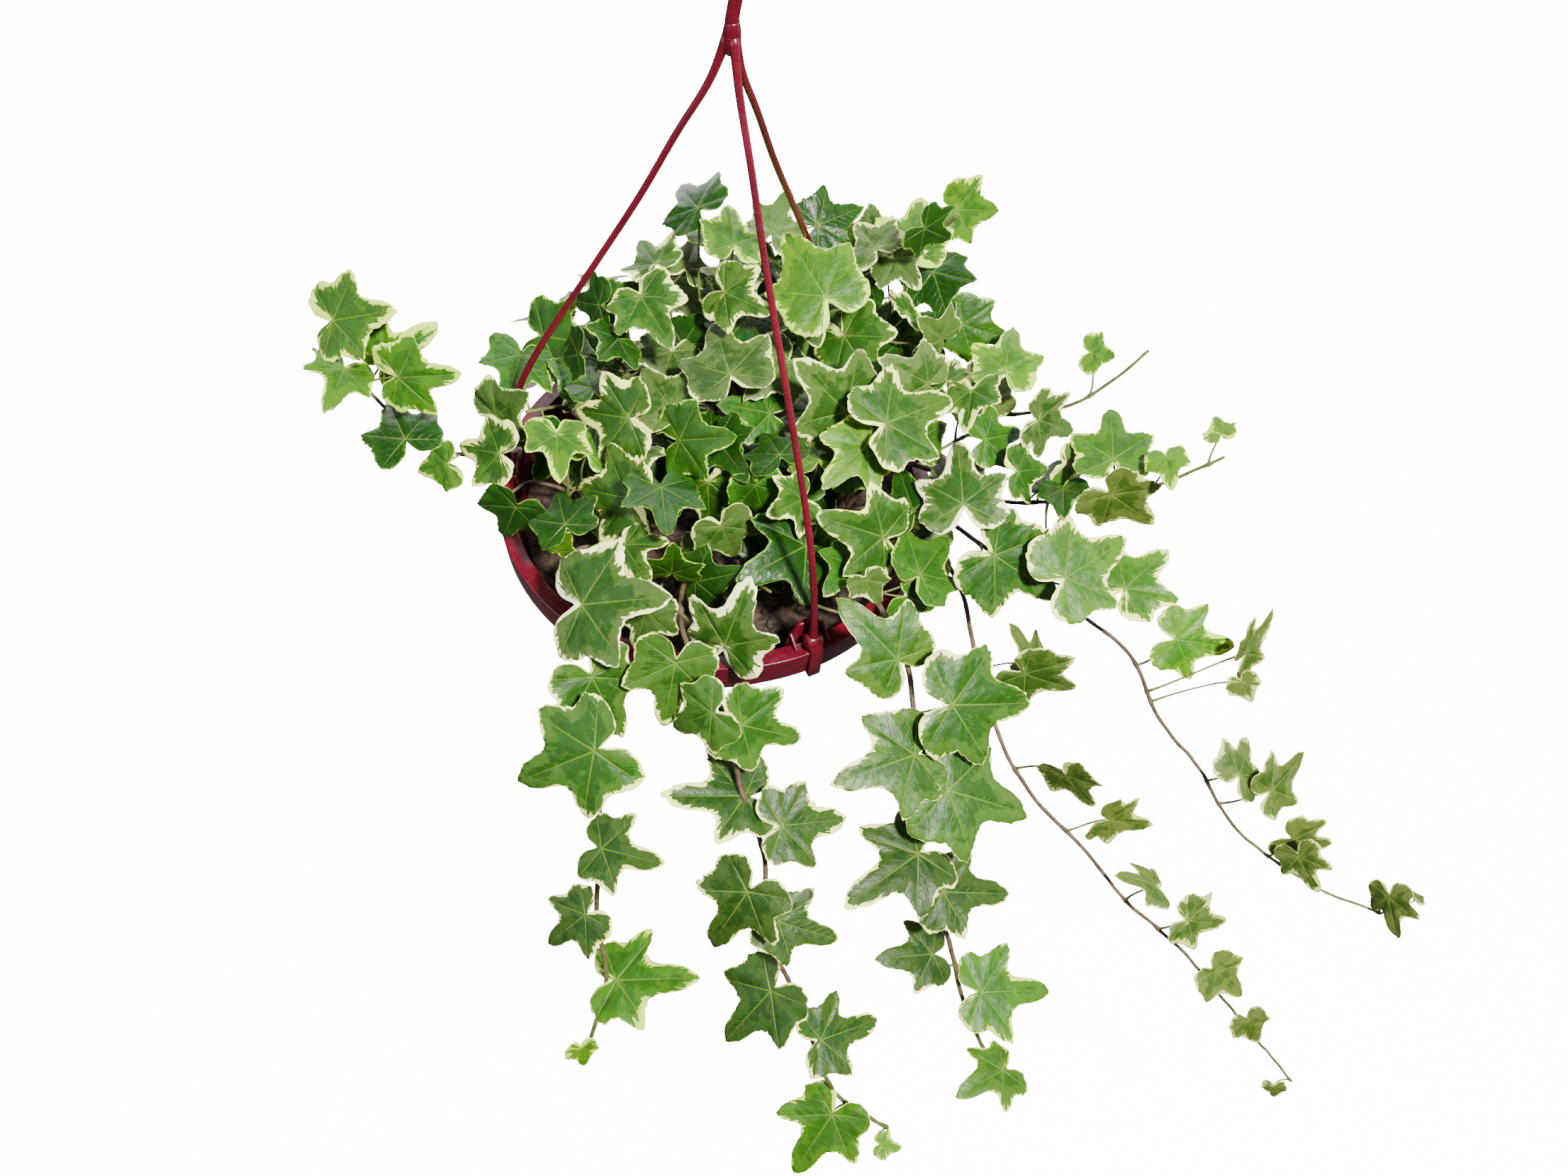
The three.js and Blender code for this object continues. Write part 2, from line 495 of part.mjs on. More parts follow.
// Where one leaf of a stem stands at one attempt: its stalk's two ends and the directions of its blade
function leafPlace(stem, order, leaf, attempt, distance) {
  const r = (use) => draw(order, leaf, attempt, use) * 2 - 1;
  const { place, way } = along(stem.spine, distance);
  const { out, up: rise, sun, lean, stalk, lift, aside, tip, spread } = stem.ways;
  const end = stem.spine[stem.spine.length - 1];
  const heading = end.clone().sub(stem.spine[0]).setZ(0).normalize();
  const outward = place.clone().setZ(0).normalize().add(heading).setZ(0).normalize();
  const across = up.clone().cross(outward);
  const side = (leaf % 2 ? -1 : 1) * stem.side;
  const normal = outward.clone().multiplyScalar(out + lean * 0.5 * r(0)).addScaledVector(up, rise)
    .addScaledVector(sunward, sun).addScaledVector(across, lean * r(1) + side * 0.12).normalize();
  const reach = stalk[0] + stalk[1] * r(2) + attempt * 0.4;
  const stalkWay = normal.clone().multiplyScalar(lift).addScaledVector(across, side * aside * (1 + 0.4 * r(3)))
    .addScaledVector(way, 0.25 + 0.3 * r(4)).normalize();
  const fall = up.clone().addScaledVector(normal, -up.dot(normal)).normalize().negate();
  const level = normal.clone().cross(fall).normalize();
  if (level.dot(across) * side < 0) level.negate();
  const angle = radians(tip + spread * r(5));
  const towards = level.multiplyScalar(Math.cos(angle)).addScaledVector(fall, Math.sin(angle)).normalize();
  return { root: place, attach: place.clone().addScaledVector(stalkWay, reach), towards, normal };
}

// A leaf's own small differences from the plain shape
function leafForm(size, order, leaf) {
  const r = (use) => draw(order, leaf, ATTEMPTS, use) * 2 - 1;
  return {
    size: size * (1 + 0.03 * r(0)),
    cup: -0.12 + 0.1 * r(1),
    fold: 0.06 + 0.07 * r(2),
    middle: 1 + 0.06 * r(3),
    skew: 0.08 * r(4),
  };
}

// The way from the eye through a column and row of the picture plane
function sightline(column, row) {
  const across = (column - PICTURE_MIDDLE[0]) / PICTURE_AWAY;
  const rise = (PICTURE_MIDDLE[1] - row) / PICTURE_AWAY;
  return EYE_AHEAD.clone().addScaledVector(EYE_RIGHT, across).addScaledVector(EYE_UP, rise).normalize();
}

// How far along a sightline the canopy is met, by halving
function canopyMet(sight, deep) {
  let [near, far] = SIGHT_RANGE;
  for (let i = 0; i < 30; i++) {
    const middle = (near + far) / 2;
    const p = EYE.clone().addScaledVector(sight, middle);
    if (p.z > canopyHeight(p.x, p.y) - deep) near = middle;
    else far = middle;
  }
  return near;
}

// The place of a stem's line nearest a sightline, as its distance along the stem
function stemMet(spine, sight) {
  const length = lengthOf(spine);
  let best = { gap: Infinity };
  for (let distance = 40; distance <= length; distance += ROOT_SPACING) {
    const away = along(spine, Math.min(distance, length - 1)).place.sub(EYE);
    const range = away.dot(sight);
    const gap = away.addScaledVector(sight, -range).length();
    if (gap < best.gap) best = { gap, range, distance };
  }
  return best;
}

// The blade of a seen leaf points nearer or further than its tip's sightline as its length asks
function seenBlade(attach, [, , column, row, size], roll, facing) {
  const sight = sightline(column, row);
  const toEye = EYE.clone().sub(attach).normalize();
  const middle = EYE.clone().addScaledVector(sight, attach.clone().sub(EYE).dot(sight));
  const seen = middle.distanceTo(attach);
  const depth = Math.sqrt(Math.max(0, size * size - seen * seen));
  const [one, other] = [depth, -depth].map((step) => {
    const towards = middle.clone().addScaledVector(sight, step).sub(attach).normalize();
    const normal = toEye.clone().addScaledVector(towards, -toEye.dot(towards)).normalize();
    return { towards, normal };
  });
  const blade = one.normal.dot(facing) > other.normal.dot(facing) ? one : other;
  blade.normal.applyAxisAngle(blade.towards, radians(roll));
  return blade;
}

// Where a seen leaf stands at one attempt, which shifts it along its sightline and takes the next root for it
function seenPlace(row, order, leaf, attempt, stem, roots) {
  const sight = sightline(row[0], row[1]);
  const [shift, choice] = [Math.floor(attempt / ROOT_CHOICES), attempt % ROOT_CHOICES];
  const move = (shift % 2 ? -1 : 1) * Math.ceil(shift / 2) * SHIFT_STEP + choice * 0.3;
  const met = stem ? stemMet(stem.spine, sight) : null;
  const range = (stem ? met.range - row[5] : canopyMet(sight, row[5])) + move;
  const attach = EYE.clone().addScaledVector(sight, range);
  const { out, up: rise, sun } = stem ? stem.ways : CROWN;
  const facing = attach.clone().setZ(0).normalize().multiplyScalar(out).addScaledVector(up, rise)
    .addScaledVector(sunward, sun);
  const roll = row[6] + (ROLL_SPREAD + ROLL_MORE * shift) * (draw(order, leaf, shift, 6) - 0.5);
  const blade = seenBlade(attach, row, roll, facing);
  const near = stem ? stemRoots(stem, met.distance) : roots;
  const fit = near.map((root) => ({ root, worth: rootWorth(root.place, attach, blade.normal) }))
    .filter(({ worth }) => worth < Infinity).sort((a, b) => a.worth - b.worth);
  const chosen = fit[choice * (stem ? 1 : 2)];
  return chosen && { stem: chosen.root.stem, root: chosen.root.place, attach, ...blade };
}

function stemRoots(stem, distance) {
  const length = lengthOf(stem.spine);
  return [-18, -12, -6, 0, 6, 12].map((step) => {
    const reached = Math.min(Math.max(distance + step, 40), length - 1);
    return { stem, place: along(stem.spine, reached).place };
  });
}

// How well a root serves a blade: under it, and about a stalk's length away
function rootWorth(root, attach, normal) {
  const way = root.clone().sub(attach);
  const length = way.length();
  const under = -way.dot(normal) / length;
  if (under < 0.12 || length < 6 || length > STALK_LONGEST) return Infinity;
  return Math.abs(length - STALK_USUAL) + 20 * Math.max(0, 0.6 - under);
}

// The corners of a leaf's outline, from the tip round to the tip again, in its own plane
function outlineOf(form, grow) {
  const lobes = form.size < YOUNG_BELOW ? YOUNG_LOBES : LOBES;
  const corner = ([degrees, reach], side) => {
    const a = radians(degrees) * side;
    const long = degrees === 0 ? form.middle : 1 + form.skew * side;
    const r = form.size * reach * long + grow;
    return [-r * Math.sin(a), r * Math.cos(a)];
  };
  const one = lobes.map((lobe) => corner(lobe, 1));
  const other = lobes.slice(1, -1).map((lobe) => corner(lobe, -1)).reverse();
  return [...one, ...other];
}

function bladeHeight(form, x, y) {
  return form.cup * (x * x + y * y) / form.size + form.fold * Math.abs(x);
}

// A leaf is one closed body: a blade fanned in triangles round its stalk, alike on both faces, and the stalk
function leafSolid(form, seat, grow) {
  const outline = outlineOf(form, grow);
  const side = seat.towards.clone().cross(seat.normal);
  const half = BLADE_THICK / 2 + grow;
  const corners = [];
  const add = (x, y, face) => {
    const corner = seat.attach.clone().addScaledVector(side, x).addScaledVector(seat.towards, y);
    corners.push(corner.addScaledVector(seat.normal, bladeHeight(form, x, y) + face));
  };
  for (const face of [half, -half]) for (const [x, y] of outline) add(x, y, face);
  add(0, 0, half);
  const way = seat.root.clone().sub(seat.attach).normalize();
  for (let i = 0; i < STALK_SIDES; i++) {
    const a = i * 2 * Math.PI / STALK_SIDES;
    add(-(STALK_RADIUS + grow) * Math.sin(a), (STALK_RADIUS + grow) * Math.cos(a), -half);
  }
  for (const ring of corners.slice(-STALK_SIDES)) {
    const spoke = ring.clone().sub(seat.attach);
    spoke.addScaledVector(way, -spoke.dot(way)).setLength(STALK_RADIUS + grow);
    corners.push(seat.root.clone().add(spoke));
  }
  const n = outline.length;
  const [centre, ring, end] = [2 * n, 2 * n + 1, 2 * n + 1 + STALK_SIDES];
  const nearest = (i) => Math.round(i * STALK_SIDES / n) % STALK_SIDES;
  const index = [];
  for (let i = 0; i < n; i++) {
    const j = (i + 1) % n;
    index.push(centre, i, j, i, n + i, n + j, i, n + j, j, n + j, n + i, ring + nearest(i));
    if (nearest(i) !== nearest(j)) index.push(n + j, ring + nearest(i), ring + nearest(j));
  }
  for (let i = 0; i < STALK_SIDES; i++) {
    const j = (i + 1) % STALK_SIDES;
    index.push(ring + i, end + i, end + j, ring + i, end + j, ring + j);
    if (i > 1) index.push(end, end + i, end + i - 1);
  }
  const geometry = new THREE.BufferGeometry().setFromPoints(corners);
  geometry.setIndex(index);
  return solid(geometry);
}

// What already stands, each with its box, so that a new piece can be held clear of it
const standing = [];

function stand(body, owner) {
  standing.push({ body, box: body.boundingBox(), owner });
}

function isClear(body, except) {
  const box = body.boundingBox();
  return standing.every(({ body: other, box: room, owner }) => {
    const apart = [0, 1, 2].some((i) => box.max[i] < room.min[i] || box.min[i] > room.max[i]);
    return apart || owner === except || body.intersect(other).isEmpty();
  });
}

const plasticRed = () => new THREE.MeshStandardMaterial({ color: 0x8e1f2a, roughness: 0.35, metalness: 0 });
const darkSoil = () => new THREE.MeshStandardMaterial({ color: 0x3c2c22, roughness: 0.95, metalness: 0 });
const leafGreen = () => new THREE.MeshStandardMaterial({ color: 0x3f7a3a, roughness: 0.45, metalness: 0 });

const pot = buildPot();
const hanger = buildHanger();
stand(pot, 'pot');
stand(hanger, 'hanger');

const stems = [...TRAILS, ...crownStems()];
stems.forEach((stem, order) => {
  for (let attempt = 0; attempt < STEM_ATTEMPTS; attempt++) {
    const path = stemPath(stem, order, attempt);
    const room = tube(path.curve, STEM_RADIUS + LEAF_ROOM, STEM_SIDES, path.steps);
    if (!isClear(room, stem)) continue;
    Object.assign(stem, path, { body: tube(path.curve, STEM_RADIUS, STEM_SIDES, path.steps), leaves: [] });
    stand(stem.body, stem);
    break;
  }
});
const grown = stems.filter((stem) => stem.body);
grown.slice(TRAILS.length).forEach((stem, i) => {
  stem.name = `crown_${String(i + 1).padStart(2, '0')}`;
});
const soil = buildSoil(grown.map((stem) => stem.spine[0]));
stand(soil, 'soil');

// A leaf is grown at the first attempt that stands clear, and one that meets something at each isn't grown
function growLeaf(form, attempts, placeAt) {
  for (let attempt = 0; attempt < attempts; attempt++) {
    const seat = placeAt(attempt);
    if (!seat || !isClear(leafSolid(form, seat, LEAF_ROOM), seat.stem)) continue;
    const body = leafSolid(form, seat, 0);
    const bodies = [seat.stem.body.intersect(body), seat.stem.body.add(body)];
    if (bodies.some((one) => one.decompose().length !== 1)) continue;
    seat.stem.leaves.push(body);
    stand(body, 'leaf');
    return true;
  }
  return false;
}

const crownRoots = grown.flatMap((stem) => {
  const length = lengthOf(stem.spine);
  const roots = [];
  for (let distance = ROOT_DEPTH; distance < length; distance += ROOT_SPACING) {
    roots.push({ stem, place: along(stem.spine, distance).place });
  }
  return roots.filter(({ place }) => Math.hypot(place.x, place.y) < 2 * RIM_RADIUS && place.z > 0);
});
Object.entries(SEEN_ON_STEMS).forEach(([name, rows], i) => {
  const stem = grown.find((one) => one.name === name);
  rows.forEach((row, leaf) => {
    const order = SEEN_ORDER + 1 + i;
    const form = leafForm(row[4], order, leaf);
    growLeaf(form, ATTEMPTS, (attempt) => seenPlace(row, order, leaf, attempt, stem, null));
  });
});
const highestFirst = [...SEEN_ON_CROWN].sort((a, b) => a[5] - b[5]);
highestFirst.forEach((row, leaf) => {
  const form = leafForm(row[4], SEEN_ORDER, leaf);
  growLeaf(form, ATTEMPTS, (attempt) => seenPlace(row, SEEN_ORDER, leaf, attempt, null, crownRoots));
});

function laysBare(sight) {
  const soilward = EYE.clone().addScaledVector(sight, (-SOIL_DROP - EYE.z) / sight.z);
  return BARE_SOIL.some(([x, y, radius]) => Math.hypot(soilward.x - x, soilward.y - y) < radius);
}

// One leaf of the lattice, drawn a little off its column and row, with its tip at any side of it
function growLayered(leaf, column, row) {
  const r = (use) => draw(LAYER_ORDER, leaf, 0, use);
  const x = column + LAYER_COLUMNS[2] * (r(10) - 0.5);
  const y = row + LAYER_ROWS[2] * (r(11) - 0.5);
  const turn = 2 * Math.PI * r(12);
  const deep = mix(...LAYER_DEEP, r(13));
  const size = mix(...LAYER_LEAF, r(14));
  const seen = [x, y, x + LAYER_TIP * Math.cos(turn), y + LAYER_TIP * Math.sin(turn), size, deep, 0];
  const sight = sightline(x, y);
  const middle = EYE.clone().addScaledVector(sight, canopyMet(sight, deep));
  const off = Math.hypot(middle.x - LAYER_MIDDLE[0], middle.y - LAYER_MIDDLE[1]);
  if (off > LAYER_RADIUS || laysBare(sight)) return;
  const form = leafForm(size, LAYER_ORDER, leaf);
  growLeaf(form, LAYER_ATTEMPTS, (attempt) => seenPlace(seen, LAYER_ORDER, leaf, attempt, null, crownRoots));
}

let layered = 0;
for (let row = LAYER_ROWS[0]; row < LAYER_ROWS[1]; row += LAYER_ROWS[2]) {
  for (let column = LAYER_COLUMNS[0]; column < LAYER_COLUMNS[1]; column += LAYER_COLUMNS[2]) {
    growLayered(layered++, column, row);
  }
}

// The leaves that fill the crown below its canopy, and those of the back, are spaced along their stems
grown.forEach((stem) => {
  if (!stem.step) return;
  const order = stems.indexOf(stem);
  const length = lengthOf(stem.spine);
  const leaves = Math.floor((length - stem.first - 2) / stem.step) + 1;
  for (let leaf = 0; leaf < leaves; leaf++) {
    const share = leaves > 1 ? leaf / (leaves - 1) : 0;
    const size = mix(stem.size[0], stem.size[1], share ** 1.5) * (0.9 + 0.2 * draw(order, leaf, 0, 7));
    growLeaf(leafForm(size, order, leaf), RULE_ATTEMPTS, (attempt) => {
      const seat = { stem, ...leafPlace(stem, order, leaf, attempt, length - 2 - leaf * stem.step) };
      const { x, y, z } = seat.attach;
      const below = y < BACK_FROM ? FILL_BELOW : BACK_BELOW;
      return stem.ways === CROWN && canopyHeight(x, y) - z < below ? null : seat;
    });
  }
});

const basket = new THREE.Group();
basket.position.z = -RIM_DROP;
basket.add(meshOf('hanger', hanger, plasticRed()));
basket.add(meshOf('pot', pot, plasticRed()));
basket.add(meshOf('soil', soil, darkSoil()));
for (const stem of grown) {
  basket.add(meshOf(stem.name, joined([stem.body, ...stem.leaves]), leafGreen()));
}

const group = new THREE.Group();
group.add(basket);

export default group;
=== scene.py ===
# Variegated ivy in its hanging pot. Metres, +Z up. The origin is the top of the hook's inside.
import math
import random

import bpy
import numpy as np
from mathutils import Matrix, Vector
from numpy.linalg import norm


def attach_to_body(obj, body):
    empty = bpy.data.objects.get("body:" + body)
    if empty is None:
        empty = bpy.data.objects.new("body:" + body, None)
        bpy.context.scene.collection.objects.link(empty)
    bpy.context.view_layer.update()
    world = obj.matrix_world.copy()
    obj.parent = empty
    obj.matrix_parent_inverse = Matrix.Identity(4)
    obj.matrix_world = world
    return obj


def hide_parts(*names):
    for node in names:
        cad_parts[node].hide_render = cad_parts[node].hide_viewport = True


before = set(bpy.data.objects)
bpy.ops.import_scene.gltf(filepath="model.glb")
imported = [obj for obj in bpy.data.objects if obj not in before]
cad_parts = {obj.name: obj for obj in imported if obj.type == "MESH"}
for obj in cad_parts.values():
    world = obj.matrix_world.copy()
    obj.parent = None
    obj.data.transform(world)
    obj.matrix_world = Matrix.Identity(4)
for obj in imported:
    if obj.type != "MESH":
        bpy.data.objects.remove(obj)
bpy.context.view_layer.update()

# Lengths are in mm, and places are in mm from the middle of the pot's rim, until a mesh is built
MM = 0.001
FULL_TURN = 6.28

# The pot's rim hangs this far below the hook's inside, in metres
RIM_DROP = 0.305

# The camera stands where the photograph was taken from, in mm from the middle of the pot's rim
EYE = np.array([0.0, -457.8, 559.4])
EYE_AHEAD = np.array([0.04985, 0.57661, -0.81549])
EYE_RIGHT = np.array([0.99818, -0.00111, 0.06024])
EYE_UP = np.array([-0.03383, 0.81702, 0.57562])
PICTURE_SIZE = (2212, 1659)
PICTURE_AWAY = 2000
SENSOR = 36

# Leaf shape: angle from the tip in degrees and reach as a share of the leaf's length. First come the lobes'
# tips with the cuts between them, then the smooth way round the basal lobe, and last the notch at the stalk.
BROAD = ([(0, 1.0), (30, 0.58), (54, 0.78), (84, 0.55)],
         [(101, 0.58), (119, 0.56), (139, 0.47), (158, 0.33)], 0.08)
SLIM = ([(0, 1.04), (34, 0.47), (57, 0.71), (88, 0.47)],
        [(105, 0.53), (124, 0.51), (144, 0.42), (161, 0.28)])
YOUNG = ([(0, 1.0), (37, 0.56), (66, 0.69), (88, 0.58)],
         [(104, 0.57), (124, 0.54), (143, 0.45), (160, 0.32)], 0.14)

# The angle in radians between a lobe's midline and its edge at the tip, for the middle lobe and the others
BLUNT = (0.94, 1.0)
POINTED_STEPS = 16
ROUND_STEPS = 5
RINGS = ((0.18, 0.4, 0.62, 0.8, 0.93, 1.0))

# A leaf whose stalk's end is inside the stem that crosses it. Given are the places where the end and the tip
# are seen, and its length.
CROSSED = {"trail_front": ((1054, 1124), (942, 1122), 38)}

# Corners of the plain outlines that the leaves are found by: angle from the tip and share of the length
HALF_ADULT = [(0, 1.0), (27, 0.58), (51, 0.77), (83, 0.54), (117, 0.54), (180, 0.12)]
HALF_YOUNG = [(0, 1.0), (34, 0.52), (72, 0.68), (130, 0.44), (180, 0.2)]
ADULT_CORNERS = HALF_ADULT + [(360 - a, r) for a, r in HALF_ADULT[-2:0:-1]]
YOUNG_CORNERS = HALF_YOUNG + [(360 - a, r) for a, r in HALF_YOUNG[-2:0:-1]]

# Half the blade's thickness here and in the solids, and a stem's radius at its foot and at its tip, in mm.
# The stems in front and on the back stay stouter to the tip.
HALF_BLADE = 0.17
SOLID_HALF_BLADE = 0.4
STEM_WIDE = 1.35
STEM_THIN = 0.75
STOUT_STEM_THIN = 1.15
TUBE_SIDES = 8
STEM_SIDES = 10

# Kinds of leaf: green of the middle, green of the patches, colour of the margin, the margin's width in mm,
# the share of the blade that is patched, and the roughness
KINDS = {
    "lime": ((0.030, 0.112, 0.001), (0.064, 0.168, 0.001), (0.44, 0.64, 0.05), 1.2, 0.42, 0.42),
    "lime_green": ((0.022, 0.092, 0.001), (0.044, 0.130, 0.002), (0.50, 0.66, 0.08), 1.1, 0.45, 0.42),
    "bold": ((0.016, 0.060, 0.003), (0.058, 0.110, 0.018), (0.88, 0.90, 0.42), 2.4, 0.50, 0.40),
    "edged": ((0.016, 0.068, 0.002), (0.046, 0.112, 0.010), (0.80, 0.88, 0.22), 1.35, 0.45, 0.40),
    "grey": ((0.019, 0.060, 0.004), (0.060, 0.112, 0.020), (0.70, 0.80, 0.24), 0.8, 0.62, 0.42),
    "strand": ((0.016, 0.064, 0.002), (0.046, 0.112, 0.012), (0.80, 0.88, 0.23), 0.7, 0.60, 0.40),
    "trimmed": ((0.016, 0.068, 0.002), (0.046, 0.112, 0.010), (0.80, 0.88, 0.22), 0.85, 0.45, 0.40),
    "plain": ((0.013, 0.070, 0.001), (0.025, 0.098, 0.003), (0.30, 0.48, 0.05), 0.5, 0.35, 0.36),
    "dark": ((0.005, 0.034, 0.001), (0.010, 0.052, 0.002), (0.15, 0.29, 0.03), 0.4, 0.3, 0.30),
    "olive": ((0.032, 0.070, 0.005), (0.076, 0.116, 0.020), (0.50, 0.54, 0.14), 0.9, 0.5, 0.46),
    "creamy": ((0.028, 0.100, 0.002), (0.056, 0.140, 0.008), (0.82, 0.90, 0.22), 1.7, 0.45, 0.42),
}

# Columns and rows of the leaves seen in the photograph whose kind stands out
SEEN_KINDS = {
    "lime": [(1035, 345), (1000, 330), (1164, 418), (1287, 346), (1350, 295), (1418, 523), (1221, 629),
             (1154, 650), (785, 612), (830, 640), (790, 777), (820, 1478), (1243, 1615),
             (1660, 902), (1645, 645), (1722, 612), (1540, 498)],
    "lime_green": [(1174, 1572), (1415, 1510), (1571, 648), (870, 1383), (1385, 1400)],
    "bold": [(1359, 711), (1023, 911), (821, 853)],
    "edged": [(1250, 597), (904, 418), (1022, 412), (1192, 473), (1335, 538), (1371, 551), (1246, 757),
              (1403, 783), (1132, 705), (705, 640), (887, 589), (886, 703), (1000, 679), (880, 769),
              (1505, 655), (1435, 665), (925, 372), (1281, 442)],
    "creamy": [(1503, 815), (1588, 830)],
    "grey": [(1030, 528), (968, 378), (1038, 392), (945, 572), (1131, 424), (1194, 581), (1329, 477),
             (1309, 540), (700, 586), (903, 637), (1018, 742), (976, 772), (912, 861), (1465, 592),
             (1222, 818), (1262, 366), (1236, 350)],
    "plain": [(734, 501), (1298, 810), (1200, 795), (1066, 684), (1282, 842), (959, 621), (948, 808),
              (1390, 620)],
    "dark": [(985, 293), (845, 430), (838, 548), (815, 500), (872, 478), (1270, 480), (1289, 722),
             (1137, 770), (1100, 642), (1012, 620), (933, 687), (798, 740), (728, 715), (982, 820),
             (1500, 690), (1480, 682), (572, 620), (1304, 322)],
}
SEEN_NEAR = 9
KINDS_BY_STEM = {
    "trail_left": ["lime_green"],
    "trail_right": ["olive"],
    "trail": ["trimmed", "strand"],
    "crown": ["dark", "plain", "grey", "plain", "dark", "edged"],
}


# Geometry

def unit(v):
    return v / max(norm(v), 1e-12)


def at_azimuth(azimuth, r, aside, z):
    """A place at a radius and a height in the plane at an azimuth in radians, moved aside from it."""
    c, s = math.cos(azimuth), math.sin(azimuth)
    return [r * c - aside * s, r * s + aside * c, z]


def polar(r, degrees, z, aside=0):
    return at_azimuth(math.radians(degrees), r, aside, z)


def circle(r, z, sides):
    return [at_azimuth(2 * math.pi * k / sides, r, 0, z) for k in range(sides)]


def cubic(a, b, c, d, t):
    return (1 - t) ** 3 * a + 3 * (1 - t) ** 2 * t * b + 3 * (1 - t) * t * t * c + t ** 3 * d


def through(a, b, c, d, t):
    """The Catmull-Rom curve from b to c."""
    bend, twist = 2 * a - 5 * b + 4 * c - d, 3 * b - a - 3 * c + d
    return 0.5 * (2 * b + (c - a) * t + bend * t * t + twist * t ** 3)


TABLE_SIZE = 64
TABLE = np.random.RandomState(7).rand(TABLE_SIZE, TABLE_SIZE, TABLE_SIZE)


def noise(points, scale):
    """Smooth value noise from -1 to 1 at an array of points."""
    p = np.asarray(points) * scale + 1000.0
    cell = np.floor(p).astype(int)
    f = p - cell
    f = f * f * (3 - 2 * f)
    total = 0
    for dx in (0, 1):
        for dy in (0, 1):
            for dz in (0, 1):
                w = (f[..., 0] if dx else 1 - f[..., 0]) * (f[..., 1] if dy else 1 - f[..., 1])
                w = w * (f[..., 2] if dz else 1 - f[..., 2])
                i, j, k = ((cell[..., axis] + step) % TABLE_SIZE for axis, step in enumerate((dx, dy, dz)))
                total = total + w * TABLE[i, j, k]
    return total * 2 - 1


def put_in_scene(name, data):
    made = bpy.data.objects.new(name, data)
    bpy.context.scene.collection.objects.link(made)
    return made


# How a vertex value of one, three or four numbers is stored
VALUE_KINDS = {1: ("FLOAT", "value"), 3: ("FLOAT_VECTOR", "vector"), 4: ("FLOAT_COLOR", "color")}


class Piece:
    """Collects one mesh's closed parts: vertices in mm from the rim's middle, faces and vertex values."""

    def __init__(self):
        self.points, self.faces, self.slots, self.values, self.count = [], [], [], {}, 0

    def add(self, points, faces, slot=0, **values):
        points = np.asarray(points, float)
        corners = [(face[0], *pair) for face in faces for pair in zip(face[1:], face[2:])]
        a, b, c = points[corners].swapaxes(0, 1)
        if (a * np.cross(b, c)).sum() < 0:
            faces = [face[::-1] for face in faces]
        for name, value in values.items():
            kept = self.values.setdefault(name, [])
            value = np.asarray(value, float)
            width = value.shape[-1] if value.ndim else 1
            kept.append((self.count, np.broadcast_to(value.reshape(-1, width), (len(points), width))))
        self.points.append(points)
        self.faces.extend([[i + self.count for i in face] for face in faces])
        self.slots.extend([slot] * len(faces))
        self.count += len(points)

    def build(self, name, materials):
        mesh = bpy.data.meshes.new(name)
        points = np.concatenate(self.points) * MM
        points[:, 2] -= RIM_DROP
        mesh.from_pydata([tuple(p) for p in points], [], self.faces)
        for key, parts in self.values.items():
            width = parts[0][1].shape[-1]
            kind, field = VALUE_KINDS[width]
            full = np.zeros((len(points), width), np.float32)
            for start, value in parts:
                full[start:start + len(value)] = value
            mesh.attributes.new(key, kind, "POINT").data.foreach_set(field, full.ravel())
        for material in materials:
            mesh.materials.append(material)
        mesh.polygons.foreach_set("material_index", self.slots)
        mesh.polygons.foreach_set("use_smooth", [True] * len(mesh.polygons))
        mesh.update()
        return put_in_scene(name, mesh)


def around(sides):
    """Each corner of a ring with the next one."""
    return [(i, (i + 1) % sides) for i in range(sides)]


def ring_faces(rings, sides, start=0):
    faces = []
    for k in range(rings - 1):
        a, b = start + k * sides, start + (k + 1) * sides
        faces += [[a + i, a + j, b + j, b + i] for i, j in around(sides)]
    return faces


def tube(path, radii, sides):
    """A closed tube along a path, with a radius at each of its points."""
    path = np.asarray(path, float)
    ways = np.gradient(path, axis=0)
    ways /= norm(ways, axis=1, keepdims=True) + 1e-12
    side = unit(np.cross(ways[0], [0.3, 0.8, 0.52]))
    points = []
    for p, way, r in zip(path, ways, radii):
        side = unit(side - way * np.dot(side, way))
        other = np.cross(way, side)
        turns = [2 * math.pi * i / sides for i in range(sides)]
        points += [p + r * (math.cos(a) * side + math.sin(a) * other) for a in turns]
    faces = ring_faces(len(path), sides)
    n = len(points)
    points += [path[0] - ways[0] * radii[0] * 0.4, path[-1] + ways[-1] * radii[-1] * 0.6]
    for i, j in around(sides):
        faces += [[n, j, i], [n + 1, n - sides + i, n - sides + j]]
    return np.array(points), faces


def smooth_path(points, spacing):
    """A smooth curve through points, sampled about every spacing."""
    p = np.asarray(points, float)
    p = np.vstack([2 * p[0] - p[1], p, 2 * p[-1] - p[-2]])
    out = []
    for i in range(1, len(p) - 2):
        steps = max(2, int(norm(p[i + 1] - p[i]) / spacing))
        out += [through(*p[i - 1:i + 3], t) for t in np.arange(steps) / steps]
    out.append(p[-2])
    return np.array(out)


def lathe(profile, sides):
    """A closed ring or cup turned from a closed outline of (radius, height)."""
    points = [point for r, z in profile for point in circle(r, z, sides)]
    faces = ring_faces(len(profile), sides)
    last = (len(profile) - 1) * sides
    faces += [[i, last + i, last + j, j] for i, j in around(sides)]
    return np.array(points), faces


